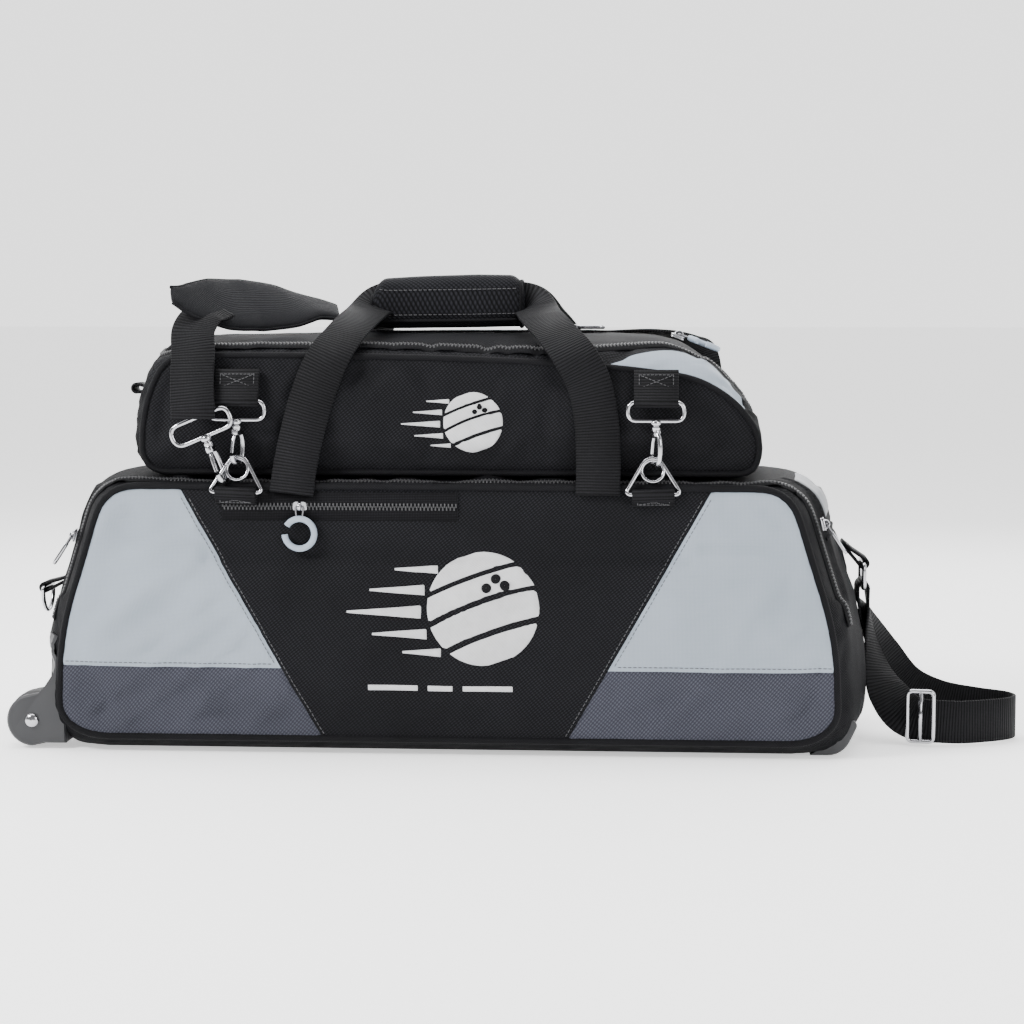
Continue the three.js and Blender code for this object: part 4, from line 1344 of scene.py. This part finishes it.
for sx, sy, tag in CORNERS:
    place = Matrix.Translation((sx * RING_X, sy * RING_Y, RING_Z))
    place = place @ Matrix.Rotation(-sy * sx * RING_TURN, 4, "Z") @ Matrix.Rotation(sy * RING_LEAN, 4, "X")
    triangle = [(-23, 0, 2), (-21, 0, 0), (21, 0, 0), (23, 0, 2), (8.4, 0, 27), (5.4, 0, 30.4), (0, 0, 32),
                (-5.4, 0, 30.4), (-8.4, 0, 27)]
    build = Build()
    build.tube(moved(wire_loop(triangle, 90, 2), place), 1.75, closed=True, sides=12)
    build.tube(moved(arc_points(0, 20.6, 9.4, 0, 2 * math.pi, 40)[:-1], place), 1.5, closed=True, sides=12)
    build.make("triangle_ring_" + tag, NICKEL, "tote", ("ring_" + tag,))


def snap_hook(place, turn, tag, owner, gate_body, tilt=0.0, size=1.0, spin=0.0):
    """A rounded strap loop, a swivel and a hook whose sprung gate is its own piece."""
    whole = Matrix.Translation(place) @ Matrix.Rotation(spin, 4, "Z")
    whole = whole @ Matrix.Rotation(tilt, 4, "Y") @ Matrix.Scale(size, 4)
    turned = whole @ Matrix.Rotation(turn, 4, "Z")
    build = Build()
    loop = [(p.x, 0, p.y) for p in rounded([[-24, -8, 9], [-24, 8, 9], [24, 8, 9], [24, -8, 9]], 8)]
    build.tube(moved(wire_loop(loop, 96, 1), whole), 1.9 * size, closed=True, sides=12)
    profile = [(0.01, -17.6), (3.0, -17.5), (3.7, -16.6), (4.1, -14.2), (4.1, -13.4), (3.0, -12.8),
               (3.0, -12.2), (4.4, -11.6), (4.8, -10.4), (4.8, -8.8), (4.2, -7.6), (2.4, -6.9), (0.01, -6.8)]
    build.lathe(profile[::-1], whole, 24)
    body = catmull([(0, 0, -16), (4, 0, -19), (7, 0, -25), (7.6, 0, -33), (5.4, 0, -43), (0, 0, -46.6),
                    (-5.4, 0, -43.5), (-7.3, 0, -38.5)], 8)
    normal = (turned.to_3x3() @ Vector((0, -1, 0))).normalized()
    r = 1.95 * size
    build.sweep(moved(body, turned), normal, [(r * math.sin(a), r * 1.15 * math.cos(a)) for a in turns(14)])
    shoulder = rounded([[-4.8, -21.4, 2.2], [-4.4, -15.2, 1.6], [4.4, -15.2, 1.6], [4.8, -21.4, 2.2]], 5)
    build.prism([(p.x, p.y) for p in shoulder], -2.8, 2.8, turned, ease=0.7)
    build.make(owner + "_snap_" + tag, NICKEL, "tote", (owner + "_hook_" + tag,), angle=50)
    gate = Build()
    spring = catmull([(-3.6, 0, -22.2), (-5.5, 0, -27), (-7.1, 0, -36.2)], 6)
    gate.tube(moved(spring, turned), 1.65 * size, sides=12)
    gate.make(owner + "_latch_" + tag, NICKEL, gate_body, (owner + "_gate_" + tag,), angle=50)


for sx, sy, tag in CORNERS:
    snap_hook((HOOK_X[sx], sy * HOOK_Y, HOOK_LOOP_Z), sy * sx * 1.06, tag, "pouch", "pouch_gate_" + tag)
snap_hook((-209, -123.5, 283), 1.4, "front", "strap", "strap_gate_front", -0.4, 1.12)
snap_hook((209, 123.5, 283), 1.4, "back", "strap", "strap_gate_back", -0.4, 1.12, math.pi)

build = Build()
bow = arc_points(0, -4, 18, -0.12, 0.12 - math.pi, 24)
d_ring = [(0, -18, 0), (0, 18, 0)] + [(0, p[0], p[2]) for p in bow]
build.tube(moved(wire_loop(d_ring, 90, 1), Matrix.Translation(END_RING_AT)), 1.95, closed=True, sides=12)
build.make("end_d_ring", NICKEL, "end_dring", ("end_dring",))

build = Build()
rect = [(0, p.x, p.y - 2) for p in rounded([[-24, 2, 6], [24, 2, 6], [24, -20, 6], [-24, -20, 6]], 6)]
build.tube(moved(wire_loop(rect, 96, 1), Matrix.Translation(PULL_RING_AT)), 2.1, closed=True, sides=12)
build.make("pull_rectangle_ring", NICKEL, "tote", ("pull_ring",))


def slide_buckle(name, place, turn, pitch, body, node_name):
    at = Matrix.Translation(place) @ Matrix.Rotation(turn, 4, "Z") @ Matrix.Rotation(pitch, 4, "X")
    build = Build()
    frame_line = [(p.x, 0, p.y) for p in rounded([[-11.3, -22.3, 4], [-11.3, 22.3, 4], [11.3, 22.3, 4],
                                                  [11.3, -22.3, 4]], 6)]
    build.tube(moved(wire_loop(frame_line, 96, 1), at), 1.9, closed=True, sides=12)
    build.tube(moved([(0, 0, -22), (0, 0, 22)], at), 2.0, sides=12)
    build.make(name, NICKEL, body, (node_name,))


slide_buckle("pull_slide_buckle", (414, -47.4, 26), -0.12, 0, "pull_strap", "pull_adjuster")
slide_buckle("strap_slide_buckle", (118, 24, 367.4), 0.15, math.pi / 2, "tote", "strap_adjuster")


# ---------------------------------------------------------------- sliders and pulls
def hanging(place, pin, down):
    """A frame at the place with X along the pin and Z away from down."""
    z = -Vector(down).normalized()
    x = Vector(pin)
    x = (x - z * x.dot(z)).normalized()
    y = z.cross(x)
    return Matrix.Translation(place) @ Matrix(((x.x, y.x, z.x), (x.y, y.y, z.y), (x.z, y.z, z.z))).to_4x4()


def slider(tag, place, pin, down, lengthways, body):
    at = hanging(place, pin, down)
    w, h = (9, 13) if lengthways else (13, 9)
    build = Build()
    outline = rounded([[-w / 2, -h / 2 + 1, 2.5], [-w / 2 + 0.8, h / 2, 2.5], [w / 2 - 0.8, h / 2, 2.5],
                       [w / 2, -h / 2 + 1, 2.5]], 5)
    build.prism([(p.x, p.y) for p in outline], 1.4, 3.0, at, ease=0.5)
    build.prism([(p.x * 0.96, p.y * 0.96) for p in outline], 3.5, 4.8, at, ease=0.4)
    build.prism([(p.x * 0.35, p.y * 0.9) for p in outline], 2.6, 4.0, at)
    half_turn = [math.pi * k / 14 for k in range(15)]
    bridge = [(0, 2.4 - 1.35 * 3.4 * math.sin(a), 3.6 * math.cos(a)) for a in half_turn]
    build.sweep(moved(bridge, at), at.to_3x3() @ Vector((1, 0, 0)),
                [(0.8 * math.cos(a), 1.5 * math.sin(a)) for a in turns(12)])
    build.make(tag, NICKEL, body, (body,), angle=40)


def pull(tag, place, pin, down, ringed, body):
    at = hanging(place, pin, down)
    build = Build()
    link_line = [(-3, 0, 0), (3, 0, 0), (3.4, 0, -2), (2.2, 0, -10), (-2.2, 0, -10), (-3.4, 0, -2)]
    build.tube(moved(wire_loop(link_line, 48, 1), at), 0.85, closed=True, sides=10, mat=1)
    if ringed:
        ring = arc_points(0, -23.2, 12.8, math.pi * 0.82, -math.pi * 0.98, 48)
        section = [(2.75 * math.cos(a), 2.5 * math.sin(a)) for a in turns(16)]
        build.sweep(moved(ring, at), at.to_3x3() @ Vector((0, 1, 0)), section)
        build.tube(moved([(-2.2, 0, -10), (-1.2, 0, -12.4), (1.2, 0, -12.4), (2.2, 0, -10)], at), 1.1, mat=1)
        build.make(tag, [RUBBER, GUNMETAL], body, (body,), angle=60)
        return
    tab = rounded([[-3.2, -8.6, 2], [-4.6, -28, 3], [-3, -31, 3],
                   [3, -31, 3], [4.6, -28, 3], [3.2, -8.6, 2]], 6)
    build.prism([(p.x, p.y) for p in tab], -1.1, 1.1, at, ease=0.4)
    build.prism([(p.x * 0.55, -20 + (p.y + 20) * 0.62) for p in tab], -1.35, 1.35, at, mat=1)
    build.make(tag, [NICKEL, GUNMETAL], body, (body,), angle=40)


pocket_pin = Vector((-124, -127, 215))
slider("pocket_zip_slider", pocket_pin, (1, 0, 0), (0, 0, -1), False, "pocket_slider")
pull("pocket_ring_pull", pocket_pin, (1, 0, 0), (0, 0, -1), True, "pocket_pull")
for m, tag, x, z in ((-1, "left", -330.5, 186), (1, "right", 327.5, 200)):
    slider("main_zip_slider_" + tag, (x, -92, z), (0, m, 0), (m * 0.25, 0, -1), True, "main_slider_" + tag)
    pull("main_zip_pull_" + tag, (x, -92, z), (0, m, 0), (m * 0.55, 0, -0.83), False, "main_pull_" + tag)
lid_pin, lid_across, lid_way = Vector((200, -50, 362)), (-0.1, 1, 0), (0.93, 0.1, -0.36)
slider("pouch_zip_slider", lid_pin + Vector((0.2, 0, 0.5)), lid_across, lid_way, True, "pouch_slider")
pull("pouch_ring_pull", lid_pin, lid_across, lid_way, True, "pouch_pull")

# ---------------------------------------------------------------- wheels, housings and skids
HUB_X, HUB_Z, WHEEL_Y, CHEEK_R = -364, 24.5, 90, 22.6
TYRE_HALF = [(4.5, -12), (9, -12), (10, -11), (13.5, -11), (14.2, -9), (18, -8.6), (19, -9), (22, -9),
             (23.3, -8), (24, -6), (24, -1.2), (23.6, -0.6)]
AXLE_HALF = [(0.01, -26.8), (2.6, -26.6), (4.9, -25.7), (6.3, -24.2), (6.5, -23.4), (4, -23.3)]
COLLAR_SECTION = [(-9, -1.5), (9, -1.5), (7.5, 1.1), (-7.5, 1.1)]


def mirrored(half):
    return half + [(r, -h) for r, h in reversed(half)]


for side, tag in ((-1, "front"), (1, "back")):
    y = side * WHEEL_Y
    turned = Matrix.Translation((HUB_X, y, HUB_Z)) @ Matrix.Rotation(math.radians(-90), 4, "X")
    build = Build()
    build.lathe(mirrored(TYRE_HALF) + TYRE_HALF[:1], turned, 72)
    build.make("wheel_tyre_" + tag, TYRE, "wheel_" + tag, ("wheel_" + tag,), angle=35)
    axle = Build()
    axle.lathe(mirrored(AXLE_HALF), turned, 40)
    axle.make("axle_pin_" + tag, NICKEL, "tote", ("axle_" + tag,), angle=40)

    around = [math.radians(96 + 174 * k / 30) for k in range(31)]
    cheek = [(HUB_X + CHEEK_R * math.cos(a), HUB_Z + CHEEK_R * math.sin(a)) for a in around]
    cheek += [(-352, 4.6), (-334, 4.6), (-334, 71), (-340, 72), (-346, 64), (-352, 55), (-358, 48.6)]
    build = Build()
    for lo, hi in ((-23.2, -14.3), (14.3, 23.2)):
        build.prism(cheek, y + lo, y + hi, ease=1.8)
    bridge = [(-343, 5), (-334, 5), (-334, 71), (-340, 71), (-345.5, 62), (-351, 54), (-344, 52), (-340, 40)]
    build.prism(bridge, y - 15, y + 15, ease=0.6)
    build.make("wheel_cheeks_" + tag, MOULDED, "tote", ("wheel_housing_" + tag,), angle=38)

    # the housing's collar runs up the bag's corner
    found = [cast(TOTE_TREE, (-460, side * 104, 66 + 34 * k / 14), (1, 0, 0), 0.8) for k in range(15)]
    collar = Build()
    collar.sweep([p for p, n in found], [n for p, n in found], COLLAR_SECTION)
    collar.make("housing_collar_" + tag, MOULDED, "tote", angle=38)

    build = Build()
    foot = rounded([[314, 0, 2], [340, 14, 12], [346, 33, 4], [356.5, 28, 5], [343, 0, 16]], 6)
    build.prism([(p.x, p.y) for p in foot], side * 92 - 9, side * 92 + 9, ease=1.2)
    build.make("corner_skid_" + tag, MOULDED, "tote", ("skid_" + tag,), angle=38)

for name, mat in (("base_board", BOARD), ("ball_tray", FOAM)):
    mesh = bpy.data.objects[name].data
    mesh.materials.clear()
    mesh.materials.append(mat)

# ---------------------------------------------------------------- floor
bpy.ops.mesh.primitive_plane_add(size=60, location=(0, 0, -0.0005))
floor = bpy.context.object
floor.name = "floor"
floor_mat, floor_nt, floor_bsdf = new_material("floor_paper")
floor_noise = node(floor_nt, "ShaderNodeTexNoise", Scale=3.0)
floor_tone = ramp(floor_nt, floor_noise.outputs["Fac"], [(0.3, (0.93,) * 3), (0.7, (0.96,) * 3)])
floor_nt.links.new(floor_tone, floor_bsdf.inputs["Base Color"])
floor_bsdf.inputs["Roughness"].default_value = 0.9
floor_bsdf.inputs["Emission Color"].default_value = (1, 1, 1, 1)
floor_bsdf.inputs["Emission Strength"].default_value = 0.7
floor.data.materials.append(floor_mat)
